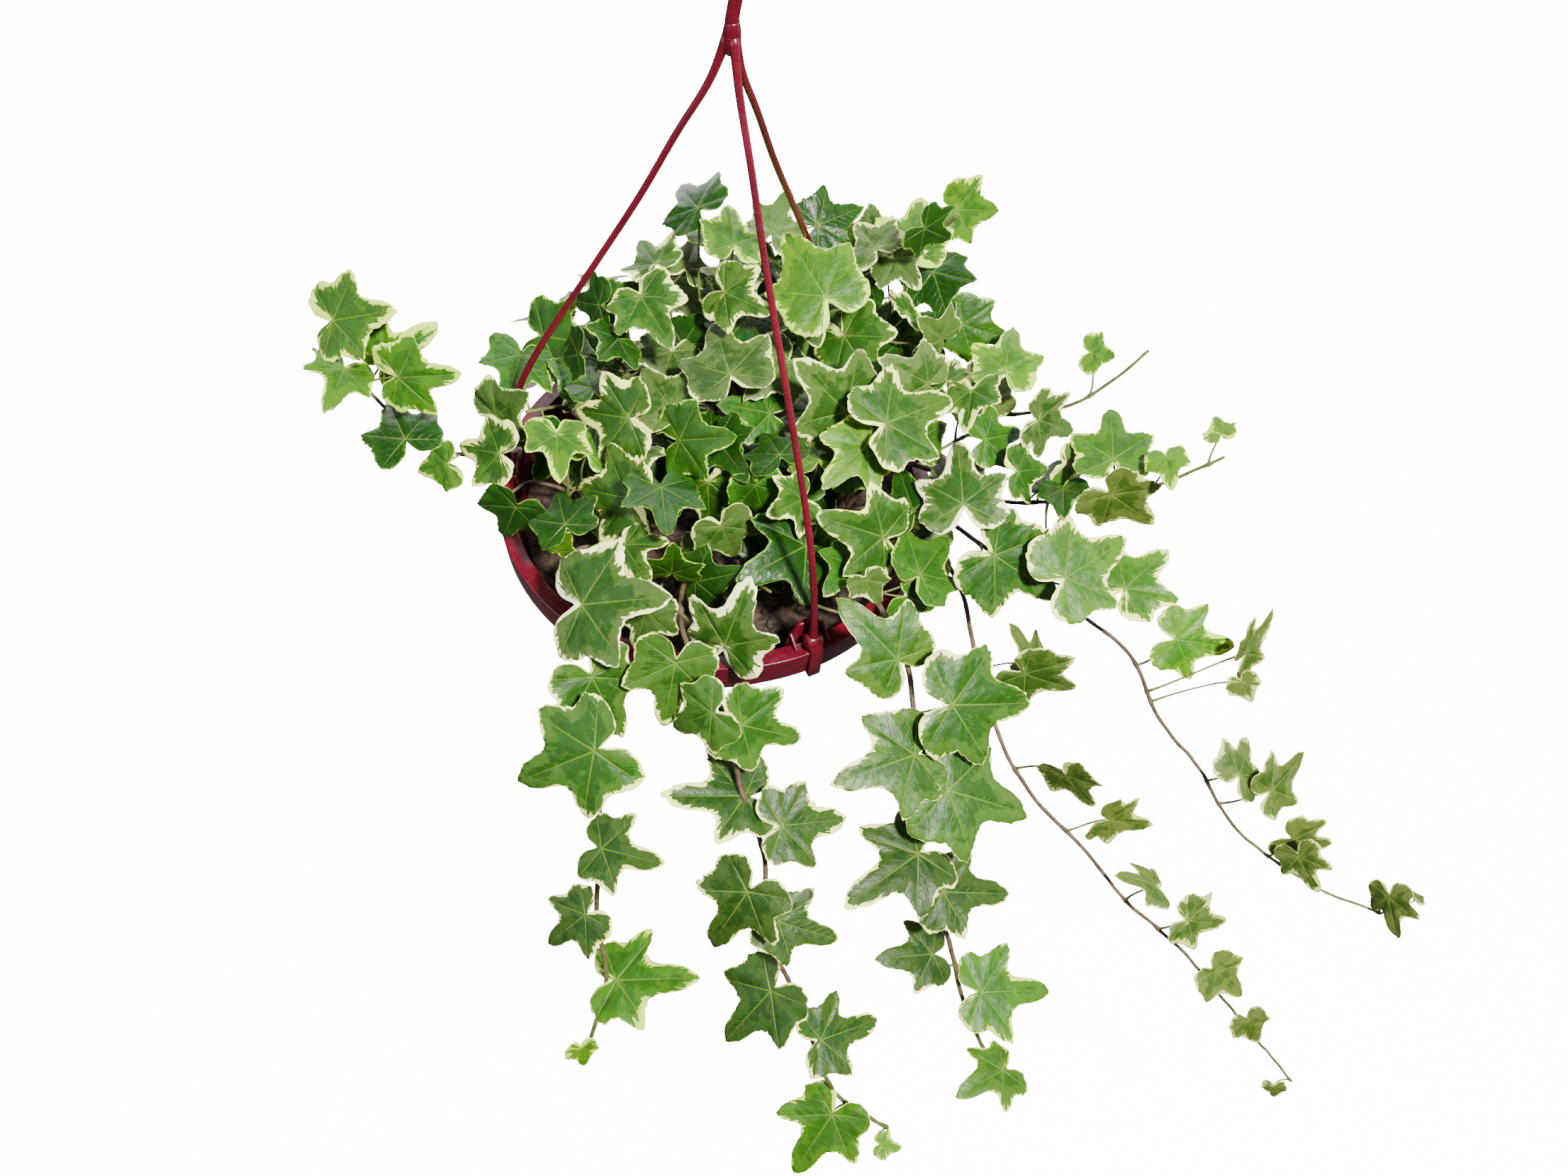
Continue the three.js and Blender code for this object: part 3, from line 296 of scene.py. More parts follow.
def rounded(outline, radius, steps=4):
    """A closed outline with each corner rounded to at most that radius."""
    p = [np.array(q, float) for q in outline]
    out = []
    for i, corner in enumerate(p):
        before, after = p[i - 1], p[(i + 1) % len(p)]
        cut = min(radius, 0.4 * norm(before - corner), 0.4 * norm(after - corner))
        a, b = corner + unit(before - corner) * cut, corner + unit(after - corner) * cut
        for t in np.linspace(0, 1, steps + 1):
            out.append((1 - t) ** 2 * a + 2 * t * (1 - t) * corner + t * t * b)
    return out


# Materials

class Nodes:
    """Builds one material's node tree."""

    def __init__(self, name):
        self.material = bpy.data.materials.new(name)
        self.material.use_nodes = True
        self.tree = self.material.node_tree
        self.tree.nodes.clear()
        self.shader = self.tree.nodes.new("ShaderNodeBsdfPrincipled")
        out = self.tree.nodes.new("ShaderNodeOutputMaterial")
        self.link(self.shader.outputs[0], out.inputs[0])

    def link(self, a, b):
        self.tree.links.new(a, b)

    def put(self, socket, value):
        if isinstance(value, bpy.types.NodeSocket):
            self.link(value, socket)
        else:
            socket.default_value = value

    def fill(self, made, **values):
        for name, value in values.items():
            self.put(made.inputs[name.replace("_", " ")], value)

    def node(self, kind, *inputs, **settings):
        made = self.tree.nodes.new(kind)
        for key, value in settings.items():
            setattr(made, key, value)
        for i, value in enumerate(inputs):
            self.put(made.inputs[i], value)
        return made

    def math(self, operation, *inputs):
        return self.node("ShaderNodeMath", *inputs, operation=operation).outputs[0]

    def times(self, a, b):
        return self.math("MULTIPLY", a, b)

    def plus(self, a, b):
        return self.math("ADD", a, b)

    def minus(self, a, b):
        return self.math("SUBTRACT", a, b)

    def vector(self, operation, *inputs):
        return self.node("ShaderNodeVectorMath", *inputs, operation=operation).outputs[0]

    def attribute(self, name, output="Fac"):
        return self.node("ShaderNodeAttribute", attribute_name=name).outputs[output]

    def noise(self, where, scale, detail=2.0, rough=0.5, distortion=0.0):
        made = self.node("ShaderNodeTexNoise")
        self.fill(made, Vector=where, Scale=scale, Detail=detail, Roughness=rough, Distortion=distortion)
        return made.outputs[0]

    def remap(self, value, low, high, to_low=0.0, to_high=1.0, smooth=True):
        made = self.node("ShaderNodeMapRange", value, low, high, to_low, to_high)
        made.interpolation_type = "SMOOTHSTEP" if smooth else "LINEAR"
        return made.outputs[0]

    def blend(self, kind, first, share, a, b):
        made = self.node("ShaderNodeMix", share, data_type=kind)
        self.put(made.inputs[first], a)
        self.put(made.inputs[first + 1], b)
        return made

    def mix(self, share, a, b):
        return self.blend("RGBA", 6, share, a, b).outputs[2]

    def choose(self, share, a, b):
        return self.blend("FLOAT", 2, share, a, b).outputs[0]

    def bump(self, height, distance, strength):
        made = self.node("ShaderNodeBump")
        self.fill(made, Strength=strength, Distance=distance, Height=height)
        return made.outputs[0]

    def finish(self, colour, rough, specular, **others):
        self.fill(self.shader, Base_Color=colour, Roughness=rough, Specular_IOR_Level=specular, **others)
        return self.material


def rgb(r, g, b):
    return (r, g, b, 1.0)


def leaf_material():
    n = Nodes("ivy_leaf")
    place, seed = (n.attribute("leaf_" + name, "Vector") for name in ("place", "seed"))
    green, patch, edge = (n.attribute("leaf_" + name, "Color") for name in ("green", "patch", "edge"))
    length, margin, cream, patched, under, gloss = (
        n.attribute("leaf_" + name) for name in ("length", "margin", "cream", "patched", "under", "rough"))
    x = n.node("ShaderNodeSeparateXYZ", place).outputs
    in_leaf = n.vector("ADD", place, seed)
    across_leaf = n.math("DIVIDE", n.math("ABSOLUTE", x[0]), length)
    up_leaf = n.math("DIVIDE", x[1], length)

    # Ribs run from the stalk to each lobe, and side veins leave them at a slant
    rib, nearest, slant = 0.0, 9.0, 0.0
    for degrees, reach in ((0, 1.0), (52, 0.79), (118, 0.56)):
        s, c = math.sin(math.radians(degrees)), math.cos(math.radians(degrees))
        along = n.plus(n.times(across_leaf, s), n.times(up_leaf, c))
        across = n.math("ABSOLUTE", n.minus(n.times(across_leaf, c), n.times(up_leaf, s)))
        width = n.remap(along, 0.0, reach, 0.019, 0.003, smooth=False)
        line = n.minus(1.0, n.math("DIVIDE", across, width))
        line = n.times(n.math("MAXIMUM", line, 0.0), n.math("GREATER_THAN", along, -0.01))
        far = n.plus(across, n.times(n.math("LESS_THAN", along, 0.0), 2.0))
        lean = n.minus(along, n.times(across, 1.15))
        slant = n.choose(n.math("LESS_THAN", far, nearest), slant, lean)
        nearest = n.math("MINIMUM", nearest, far)
        rib = n.math("MAXIMUM", rib, line)
    slant = n.plus(slant, n.times(n.noise(in_leaf, 0.16, 1.0), 0.05))
    wave = n.math("ABSOLUTE", n.minus(n.math("FRACT", n.times(slant, 7.5)), 0.5))
    side_vein = n.times(n.remap(wave, 0.0, 0.09, 1.0, 0.0), n.remap(nearest, 0.0, 0.22, 0.75, 0.1))
    rib = n.math("MINIMUM", n.times(rib, 1.6), 1.0)

    # The margin's pale band and the grey patches inside it end in wedges that point along the ribs
    around = n.vector("ADD", n.vector("NORMALIZE", place), seed)
    coarse = n.noise(around, 2.6, 2.0, 0.6)
    one_side = n.remap(n.noise(around, 0.9, 1.0), 0.36, 0.64, 0.35, 1.9)
    fine = n.noise(around, 13.0, 3.0, 0.7)
    local = n.noise(in_leaf, 0.35, 3.0, 0.65)
    ragged = n.plus(n.plus(n.times(coarse, 1.1), fine), n.times(local, 0.5))
    reach = n.times(cream, n.remap(ragged, 1.12, 1.62, 0.08, 2.4, smooth=False))
    reach = n.math("MINIMUM", n.times(reach, one_side), 4.2)
    in_cream = n.remap(n.minus(reach, margin), -0.12, 0.25)
    blotch = n.noise(in_leaf, 0.11, 3.0, 0.6, 0.3)
    blotch = n.plus(blotch, n.times(n.minus(fine, 0.5), 0.35))
    outward = n.remap(margin, 0.5, 9.0, 0.16, -0.12)
    spotted = n.plus(n.plus(blotch, outward), n.times(patched, 0.36))
    in_patch = n.remap(spotted, 0.62, 0.71)
    tone = n.remap(n.noise(in_leaf, 0.33), 0.35, 0.65)
    deeper = n.mix(tone, n.mix(0.35, green, rgb(0.004, 0.03, 0.004)), green)
    lighter = n.mix(tone, patch, n.mix(0.35, patch, green))
    colour = n.mix(in_patch, deeper, lighter)
    vein_pale = n.mix(0.5, green, rgb(0.20, 0.33, 0.04))
    colour = n.mix(n.times(side_vein, 0.22), colour, vein_pale)
    colour = n.mix(in_cream, colour, edge)
    colour = n.mix(n.times(rib, 0.62), colour, vein_pale)
    colour = n.mix(under, colour, n.mix(0.55, colour, rgb(0.13, 0.20, 0.05)))
    mottled = n.noise(in_leaf, 1.4, 2.0, 0.6)
    colour = n.mix(n.remap(mottled, 0.3, 0.75, 0.0, 0.10), colour, rgb(0.02, 0.06, 0.015))

    relief = n.minus(n.times(mottled, 0.35), n.times(rib, 0.9))
    relief = n.minus(relief, n.times(side_vein, 0.5))
    relief = n.plus(relief, n.times(n.noise(in_leaf, 0.28, 1.0), 1.2))
    rough = n.plus(gloss, n.remap(mottled, 0.3, 0.8, -0.03, 0.10))
    return n.finish(colour, rough, 0.24, Normal=n.bump(relief, 0.0006, 0.55))


def stem_material():
    n = Nodes("ivy_stem")
    green = n.attribute("stem_green")
    where = n.node("ShaderNodeNewGeometry").outputs["Position"]
    broad = n.remap(n.noise(where, 120.0, 3.0, 0.6), 0.35, 0.65)
    fine = n.noise(where, 900.0, 3.0, 0.6)
    bark = n.mix(broad, rgb(0.045, 0.028, 0.015), rgb(0.115, 0.080, 0.045))
    fresh = n.mix(broad, rgb(0.075, 0.115, 0.016), rgb(0.150, 0.185, 0.040))
    colour = n.mix(green, bark, fresh)
    colour = n.mix(n.remap(fine, 0.4, 0.7, 0.0, 0.4), colour, rgb(0.030, 0.022, 0.010))
    return n.finish(colour, 0.62, 0.35, Normal=n.bump(fine, 0.0004, 0.6))


def plastic_material():
    n = Nodes("pot_plastic")
    surface = n.node("ShaderNodeNewGeometry").outputs
    where = surface["Position"]
    cloud = n.noise(where, 26.0, 3.0, 0.55)
    grain = n.noise(where, 420.0, 2.0, 0.6)
    scuff = n.noise(n.vector("MULTIPLY", where, (1.0, 1.0, 5.0)), 210.0, 4.0, 0.7, 0.6)
    facing = n.node("ShaderNodeSeparateXYZ", surface["Normal"]).outputs[2]
    colour = n.mix(n.remap(cloud, 0.35, 0.65), rgb(0.072, 0.002, 0.009), rgb(0.108, 0.003, 0.012))
    # Paler red patches, stronger on faces that point up: partly dust and partly painted light on the pot's
    # upper faces, such as the ledge
    dust_and_top_light = n.times(n.remap(facing, 0.2, 1.0, 0.06, 0.30), n.remap(scuff, 0.52, 0.70))
    colour = n.mix(dust_and_top_light, colour, rgb(0.150, 0.018, 0.022))
    dark = n.times(n.remap(scuff, 0.30, 0.42, 1.0, 0.0), 0.22)
    colour = n.mix(dark, colour, rgb(0.085, 0.006, 0.012))
    rough = n.plus(n.remap(scuff, 0.4, 0.75, 0.20, 0.42), n.times(grain, 0.06))
    relief = n.plus(cloud, n.times(grain, 0.10))
    return n.finish(colour, rough, 0.4, Normal=n.bump(relief, 0.0006, 0.35))


def soil_material():
    n = Nodes("pot_soil")
    where = n.node("ShaderNodeNewGeometry").outputs["Position"]
    kind = n.attribute("soil_kind")
    broad = n.noise(where, 55.0, 4.0, 0.6)
    crumb = n.noise(where, 420.0, 5.0, 0.7)
    fibre = n.noise(n.vector("MULTIPLY", where, (1.0, 3.5, 1.0)), 300.0, 4.0, 0.7, 1.2)
    colour = n.mix(n.remap(broad, 0.35, 0.62), rgb(0.016, 0.008, 0.005), rgb(0.058, 0.030, 0.019))
    colour = n.mix(n.remap(crumb, 0.42, 0.66, 0.0, 0.75), colour, rgb(0.088, 0.054, 0.036))
    colour = n.mix(n.remap(fibre, 0.60, 0.70, 0.0, 0.6), colour, rgb(0.17, 0.12, 0.08))
    colour = n.mix(kind, colour, rgb(0.42, 0.36, 0.28))
    relief = n.plus(crumb, n.times(fibre, 0.6))
    rough = n.remap(broad, 0.35, 0.7, 0.55, 0.92)
    return n.finish(colour, rough, 0.45, Normal=n.bump(relief, 0.0016, 0.9))


def floor_material():
    n = Nodes("studio_floor")
    glow = rgb(1.0, 1.0, 0.99)
    return n.finish(rgb(0.5, 0.5, 0.5), 1.0, 0.0, Emission_Color=glow, Emission_Strength=14.0)


LEAF, STEM, PLASTIC, SOIL = leaf_material(), stem_material(), plastic_material(), soil_material()


# Leaves

def between(a, b, share):
    return [(p * (1 - share) + s * share, q * (1 - share) + t * share) for (p, q), (s, t) in zip(a, b)]


def in_blade(degrees, reach):
    a = math.radians(degrees)
    return reach * np.array([math.sin(a), math.cos(a)])


def outline(size, young, slim, dice):
    """The leaf's outline round its stalk's end, in mm: pointed lobes, rounded cuts and a toothed edge."""
    points, smooth = between(BROAD[0], SLIM[0], slim), between(BROAD[1], SLIM[1], slim)
    notch = BROAD[2]
    if young:
        points, smooth, notch = YOUNG
    toothed = dice.uniform(0.7, 1.3)
    out = []
    for side in (1, -1):
        grow = [1.0] + [1 + 0.06 * dice.uniform(-1, 1) for _ in points[1:]]
        turn = [0.0] + [2.5 * dice.uniform(-1, 1) for _ in points[1:]]
        at = [in_blade(a + t, r * g) for (a, r), g, t in zip(points, grow, turn)]
        half = []
        for k, way in enumerate((1, -1, 1)):
            tip, cut = at[k:k + 2][::way]
            span = norm(cut - tip)
            blunt = BLUNT[0 if k == 0 else 1] * way
            c, s = math.cos(blunt), math.sin(blunt)
            x, y = -unit(tip)
            leave = np.array([c * x - s * y, s * x + c * y])
            flat = np.array([cut[1], -cut[0]]) / norm(cut) * (-way)
            near = [tip + leave * span * 0.50, cut + flat * span * 0.30][::way]
            half += [cubic(at[k], *near, at[k + 1], t) for t in np.arange(POINTED_STEPS) / POINTED_STEPS]
        tail = [at[3]] + [in_blade(a, r * (1 + 0.05 * dice.uniform(-1, 1))) for a, r in smooth]
        tail += [np.array([0.0, -notch])]
        flat = np.array([at[3][1], -at[3][0]]) * 0.5
        spine = [at[3] - flat] + tail + [np.array([-0.1, -notch + 0.06])]
        for k in range(1, len(spine) - 2):
            half += [through(*spine[k - 1:k + 3], t) for t in np.arange(ROUND_STEPS) / ROUND_STEPS]
        half.append(np.array([0.0, -notch]))
        half = np.array(half)
        half[:, 0] *= side
        out.append(half)
    points = np.vstack([out[0], out[1][::-1][1:-1]])
    n = len(points)
    phase = dice.uniform(0, FULL_TURN)
    i = np.arange(n)
    rough = 0.5 + 0.5 * np.sin(i * 2 * math.pi / 37.0 + 3 * phase)
    teeth = (0.004 + 0.014 * rough) * np.sin(i * 2 * math.pi / 4.3 + phase)
    slow = 0.013 * np.sin(i * 2 * math.pi / 17.0 + 1.7 * phase)
    jitter = (0.006 + 0.014 * rough) * np.array([dice.uniform(-1, 1) for _ in range(n)])
    reach = norm(points, axis=1)
    change = 1 + toothed * (teeth + slow + jitter) * np.clip(reach / 0.4, 0, 1)
    return points * change[:, None] * size


def edge_distance(points, edge):
    """How far each point in a blade is from the blade's edge."""
    a, b = edge, np.roll(edge, -1, axis=0)
    ab = b - a
    t = ((points[:, None, :] - a) * ab).sum(-1) / ((ab ** 2).sum(-1) + 1e-9)
    near = a + np.clip(t, 0, 1)[..., None] * ab
    return np.sqrt(((points[:, None, :] - near) ** 2).sum(-1)).min(1)


# The lobes' midlines, and how far to each side of one the lobe's own bend goes, in radians
LOBE_ANGLES = (0, 0.9, -0.9, 2.05, -2.05)
LOBE_REACH = 0.42

# The relief, as shares of the blade's length: slow and quick waves of the edge, and the groove along a rib
SLOW_WAVE = 0.022
QUICK_WAVE = 0.014
GROOVE_DEPTH = 0.016
GROOVE_WIDTH = 0.045


def add_blade(piece, leaf, kind, slim, painted_lightness, dice):
    """A blade with a front and a back, cupped and folded as its solid is, and waved along its edge."""
    size, young = leaf["size"], leaf["young"]
    edge = outline(size, young, min(1.0, max(0.0, slim + dice.uniform(-0.3, 0.3))), dice)
    n = len(edge)
    flat = np.vstack([np.zeros((1, 2))] + [edge * s for s in RINGS])
    r = norm(flat, axis=1)
    x, y = flat[:, 0], flat[:, 1]
    angle = np.arctan2(x, y)
    far = np.concatenate([[0], np.repeat(RINGS, n)])
    high = leaf["cup"] * r * r / size + leaf["fold"] * (np.sqrt(x * x + (0.05 * size) ** 2) - 0.05 * size)
    waves = dice.choice((3, 4, 5))
    high += SLOW_WAVE * size * far ** 2.5 * np.sin(waves * angle + dice.uniform(0, FULL_TURN))
    high += QUICK_WAVE * size * far ** 4 * np.sin((waves + 7) * angle + dice.uniform(0, FULL_TURN))
    grooves = np.zeros(len(flat))
    for lobe in LOBE_ANGLES:
        bend = dice.uniform(-0.075, 0.035) if lobe == 0 else dice.uniform(-0.06, 0.05)
        off = np.angle(np.exp(1j * (angle - lobe)))
        high += bend * size * far ** 2 * np.exp(-(off / LOBE_REACH) ** 2)
        away = r * np.abs(np.sin(off)) + size * (np.abs(off) > 1.5)
        grooves = np.maximum(grooves, np.exp(-(away / (GROOVE_WIDTH * size)) ** 2))
    high -= GROOVE_DEPTH * size * grooves * np.sin(math.pi * far)
    base = leaf["attach"] + np.outer(x, leaf["side"]) + np.outer(y, leaf["towards"])
    face = HALF_BLADE * (1 - 0.55 * far ** 6)
    top = base + np.outer(high + face, leaf["normal"])
    low = base + np.outer(high - face, leaf["normal"])
    m = len(flat)
    last = 1 + (len(RINGS) - 1) * n
    margin = edge_distance(flat, edge)
    margin[last:] = 0
    faces = []
    for start, turn in ((0, 1), (m, -1)):
        for i, j in around(n):
            faces.append([start, start + 1 + i, start + 1 + j][::turn])
            for k in range(len(RINGS) - 1):
                a, b = start + 1 + k * n, start + 1 + (k + 1) * n
                faces.append([a + i, b + i, b + j, a + j][::turn])
    faces += [[last + i, m + last + i, m + last + j, last + j] for i, j in around(n)]
    green, patch, pale, cream, patched, rough = KINDS[kind]
    # Painted shade: the greens are scaled by the leaf's painted lightness, which also changes a little at
    # random
    shade = painted_lightness * (1 + 0.16 * dice.uniform(-1, 1))
    warm = 1 + 0.10 * dice.uniform(-1, 1)
    green, patch = (np.array([r * shade * warm, g * shade, b * shade, 1.0]) for r, g, b in (green, patch))
    flat3 = np.column_stack([x, y, np.zeros(m)])
    piece.add(
        np.vstack([top, low]), faces, 0,
        leaf_place=np.vstack([flat3, flat3]),
        leaf_seed=np.array([dice.uniform(0, 90), dice.uniform(0, 90), dice.uniform(0, 90)]),
        leaf_length=size, leaf_margin=np.concatenate([margin, margin])[:, None],
        leaf_cream=cream * dice.uniform(0.7, 1.25), leaf_patched=patched * dice.uniform(0.75, 1.2),
        leaf_under=np.concatenate([np.zeros(m), np.ones(m)])[:, None], leaf_green=green, leaf_patch=patch,
        leaf_edge=np.array([*pale, 1.0]), leaf_rough=rough)


def add_stalk(piece, leaf, root, dice, wide):
    attach, normal = leaf["attach"], leaf["normal"]
    length = norm(attach - root)
    straight = unit(attach - root)
    bow = 0.13 * length * unit(np.cross(straight, [dice.uniform(-1, 1), dice.uniform(-1, 1), 0.4]))
    a, d = root, attach - normal * 0.1
    b = root + straight * length * 0.35 + bow
    c = attach - normal * min(3.0, length * 0.2) - straight * length * 0.16 + bow * 0.6
    share = np.linspace(0, 1, 13)
    path = cubic(a, b, c, d, share[:, None])
    radii = wide * (0.62 + 0.5 * np.exp(-share * 9) + 0.16 * np.exp(-(1 - share) * 14))
    points, faces = tube(path, radii, TUBE_SIDES)
    piece.add(points, faces, 1, stem_green=0.55 + 0.4 * dice.random())


# The leaves of each stem, found by their plain outlines

def welded(node):
    """Vertices in mm from the rim's middle, welded by place, with the triangles between them."""
    mesh = node.data
    co = np.zeros(len(mesh.vertices) * 3)
    mesh.vertices.foreach_get("co", co)
    co = co.reshape(-1, 3) / MM
    co[:, 2] += RIM_DROP / MM
    keys = np.round(co, 3)
    unique, index = np.unique(keys, axis=0, return_inverse=True)
    index = index.ravel()
    kept = np.zeros_like(unique)
    kept[index] = co
    faces = []
    for polygon in mesh.polygons:
        face = [int(index[v]) for v in polygon.vertices]
        for k in range(1, len(face) - 1):
            one = (face[0], face[k], face[k + 1])
            if len(set(one)) == 3:
                faces.append(one)
    return kept, faces


def fans(faces):
    """Each vertex with the ring of vertices round it, where its triangles close round it."""
    following = {}
    for a, b, c in faces:
        for p, q, r in ((a, b, c), (b, c, a), (c, a, b)):
            following.setdefault(p, {})[q] = r
    out = {}
    for p, steps in following.items():
        start = next(iter(steps))
        ring, at = [], start
        while at in steps and len(ring) <= len(steps):
            ring.append(at)
            at = steps[at]
            if at == start:
                break
        if at == start and len(ring) == len(steps):
            out[p] = ring
    return out


# The shortest blade in mm, and how far its corners may be from the outline's, as a share of its length
SMALLEST_LEAF = 7
CORNER_NEAR = 0.16

# Distances in mm: between two leaves at least, from a leaf to its stalk's end at most, from the stem's
# middle line to its surface at most, and a stalk's length at least and where nothing shows it
LEAVES_APART = 3.0
STALK_END_NEAR = 1.5
STEM_NEAR = 2.3
SHORTEST_STALK = 6
USUAL_STALK = 14


def blade_at(points, middle, ring, corner_model):
    """The blade whose corners are in the ring round a vertex, or nothing where too few fit the outline."""
    centre, corners = points[middle], points[ring]
    spokes = corners - centre
    reach = norm(spokes, axis=1)
    turned = sum(np.cross(spokes[k], spokes[(k + 1) % len(ring)]) for k in range(len(ring)))
    tip = int(np.argmax(reach))
    size = reach[tip]
    if size < SMALLEST_LEAF or norm(turned) < 0.5 * size * size:
        return None
    normal = unit(turned)
    ahead = unit(spokes[tip] - normal * np.dot(spokes[tip], normal))
    side = np.cross(ahead, normal)
    n = len(corner_model)
    seen = np.column_stack([spokes @ side, spokes @ ahead])
    placed, fits = [], 0
    for degrees, share in corner_model:
        gaps = norm(seen - in_blade(degrees, size * share), axis=1)
        best = int(np.argmin(gaps))
        placed.append(spokes[best])
        fits += gaps[best] < CORNER_NEAR * size
    if fits < n - (0 if len(ring) == n else 2):
        return None
    notch = placed[n // 2]
    towards = unit(-notch) if norm(notch) < 0.3 * size else ahead
    across = sum(unit(placed[k] - placed[n - k]) for k in range(1, n // 2))
    side = unit(across - towards * np.dot(across, towards))
    normal = np.cross(side, towards)
    if np.dot(normal, turned) < 0:
        normal = -normal
    x, y, z = (np.array(placed) @ way for way in (side, towards, normal))
    length = abs(y[0])
    cup, fold = np.linalg.lstsq(np.column_stack([(x ** 2 + y ** 2) / length, np.abs(x)]), z, rcond=None)[0]
    return {"attach": centre - normal * SOLID_HALF_BLADE, "side": side, "towards": towards,
            "normal": normal, "size": length, "cup": cup, "fold": fold, "young": n == 8, "fits": fits / n}


def crossed_leaf(points, faces, place, tip, size):
    """A leaf whose middle is hidden in a stem, from where it is seen and from the blade's large faces."""
    seen = np.array([seen_at(p) for p in points])
    close = np.flatnonzero(np.hypot(*(seen - place).T) < 4)
    middle = points[close[np.argmax(points[close][:, 2])]]
    beside = norm(points - middle, axis=1) < 2.5
    spans = points[faces]
    areas = np.cross(spans[:, 1] - spans[:, 0], spans[:, 2] - spans[:, 0])
    large = norm(areas, axis=1) > 20
    normal = unit(areas[large & beside[faces].any(1) & (areas @ (EYE - middle) > 0)].sum(0))
    sight = unit(EYE_AHEAD * PICTURE_AWAY + EYE_RIGHT * (tip[0] - PICTURE_SIZE[0] / 2)
                 - EYE_UP * (tip[1] - PICTURE_SIZE[1] / 2))
    end = EYE + sight * ((middle - EYE) @ normal) / (sight @ normal)
    towards = unit(end - middle)
    return {"attach": middle - normal * SOLID_HALF_BLADE, "side": np.cross(towards, normal),
            "towards": towards, "normal": normal, "size": size, "cup": -0.05, "fold": 0.05, "young": False}


def leaves_of(name):
    """The leaves of a stem's node: each blade is a fan of ten or eight triangles round its stalk's end."""
    points, faces = welded(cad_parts[name])
    tries = []
    for middle, ring in fans(faces).items():
        for corner_model in (ADULT_CORNERS, YOUNG_CORNERS):
            n = len(corner_model)
            if len(ring) == n or n < len(ring) < n + 6:
                leaf = blade_at(points, middle, ring, corner_model)
                if leaf:
                    tries.append((0 if len(ring) == n else 1, -leaf["fits"], len(tries), leaf))
    found = []
    for *_, leaf in sorted(tries, key=lambda one: one[:3]):
        if all(norm(leaf["attach"] - other["attach"]) > LEAVES_APART for other in found):
            found.append(leaf)
    if name in CROSSED:
        found.append(crossed_leaf(points, faces, *CROSSED[name]))
    near = {}
    for face in faces:
        for corner in face:
            near.setdefault(int(corner), set()).update(int(other) for other in face)
    return points, near, found


def stalk_root(points, near, leaf, line):
    """Where a leaf's stalk meets the stem: the stem's corners that are joined to those under the blade."""
    from_leaf = norm(points - leaf["attach"], axis=1)
    feet = set(np.flatnonzero(from_leaf < STALK_END_NEAR).tolist())
    ends = {q for foot in feet for q in near.get(foot, ())} - feet
    ends = [points[q] for q in ends if from_leaf[q] > SHORTEST_STALK
            and norm(line - points[q], axis=1).min() < STEM_NEAR]
    end = np.mean(ends, axis=0) if ends else leaf["attach"] - leaf["normal"] * USUAL_STALK
    return line[int(np.argmin(norm(line - end, axis=1)))]


def seen_at(point):
    """The column and row at which the photograph shows a point."""
    away = point - EYE
    ahead = away @ EYE_AHEAD
    return (PICTURE_SIZE[0] / 2 + PICTURE_AWAY * (away @ EYE_RIGHT) / ahead,
            PICTURE_SIZE[1] / 2 - PICTURE_AWAY * (away @ EYE_UP) / ahead)


def kind_of(name, leaf, dice):
    """The kind of a leaf that stands out in the photograph, or else one that is drawn for its stem."""
    column, row = seen_at(leaf["attach"])
    for kind, places in SEEN_KINDS.items():
        if any(math.hypot(column - c, row - r) < SEEN_NEAR for c, r in places):
            return kind
    return dice.choice(next(kinds for key, kinds in KINDS_BY_STEM.items() if name.startswith(key)))


# Stems

# The middle lines of the trailing stems from the foot to the tip, in mm from the rim's middle
ROUTES = {
    "trail_front_left": [(-40, -58, 8), (-46, -92, 18), (-50, -124, 12), (-50, -150, -14), (-48, -180, -48),
                         (-50, -197, -78), (-46, -215, -120), (-56, -230, -172)],
    "trail_front": [(-12, -56, 6), (-15, -90, 18), (-8, -116, 20), (6, -136, 6), (16, -161, -20),
                    (28, -182, -46), (31, -203, -84), (49, -221, -130), (74, -240, -214), (108, -246, -262)],
    "trail_front_right": [(64, -50, 8), (76, -84, 22), (88, -112, 20), (93, -140, 4), (97, -170, -26),
                          (104, -190, -54), (118, -206, -84), (131, -221, -126), (155, -236, -186)],
    "trail_right_low": [(84, -28, 6), (104, -42, 14), (122, -56, -6), (133, -82, -34), (147, -112, -58),
                        (166, -134, -76), (191, -152, -92), (219, -169, -119), (254, -184, -148),
                        (288, -196, -190), (352, -212, -276)],
    "trail_right": [(80, -12, 10), (104, -26, 20), (140, -42, 4), (186, -58, -22), (211, -72, -34),
                    (233, -91, -66), (260, -106, -92), (285, -120, -126), (322, -130, -157),
                    (355, -137, -176), (388, -142, -190)],
    "trail_right_high": [(74, 6, 20), (108, -8, 26), (143, -18, 18), (177, -26, 32), (205, -32, 50),
                         (231, -36, 78)],
    "trail_right_back": [(66, 26, 24), (98, 24, 38), (130, 22, 36), (168, 20, 46), (186, 20, 62),
                         (202, 20, 88)],
    "trail_back_right": [(28, 44, 34), (46, 56, 62), (66, 56, 90), (88, 52, 116), (104, 47, 140)],
    "trail_left": [(-74, 6, 8), (-100, 2, 24), (-126, -6, 24), (-146, -9, 44), (-163, -8, 72),
                   (-182, -5, 92)],
    "trail_back_left": [(-50, 62, 12), (-66, 92, 20), (-80, 122, 6), (-88, 144, -34), (-92, 158, -84),
                        (-96, 166, -140)],
    "trail_back": [(2, 74, 14), (4, 108, 20), (8, 138, 0), (6, 156, -44), (10, 168, -100), (6, 174, -162),
                   (12, 176, -206)],
    "trail_back_far_right": [(64, 60, 12), (84, 88, 18), (104, 112, 2), (116, 128, -38), (122, 138, -92),
                             (130, 142, -140)],
}

# The crown's stems stand in a spiral of sunflower seeds
CROWN_STEMS = 26
GOLDEN_ANGLE = 137.508
SOIL_DROP = 18
ROOT_DEPTH = 44
ATTEMPTS = 12

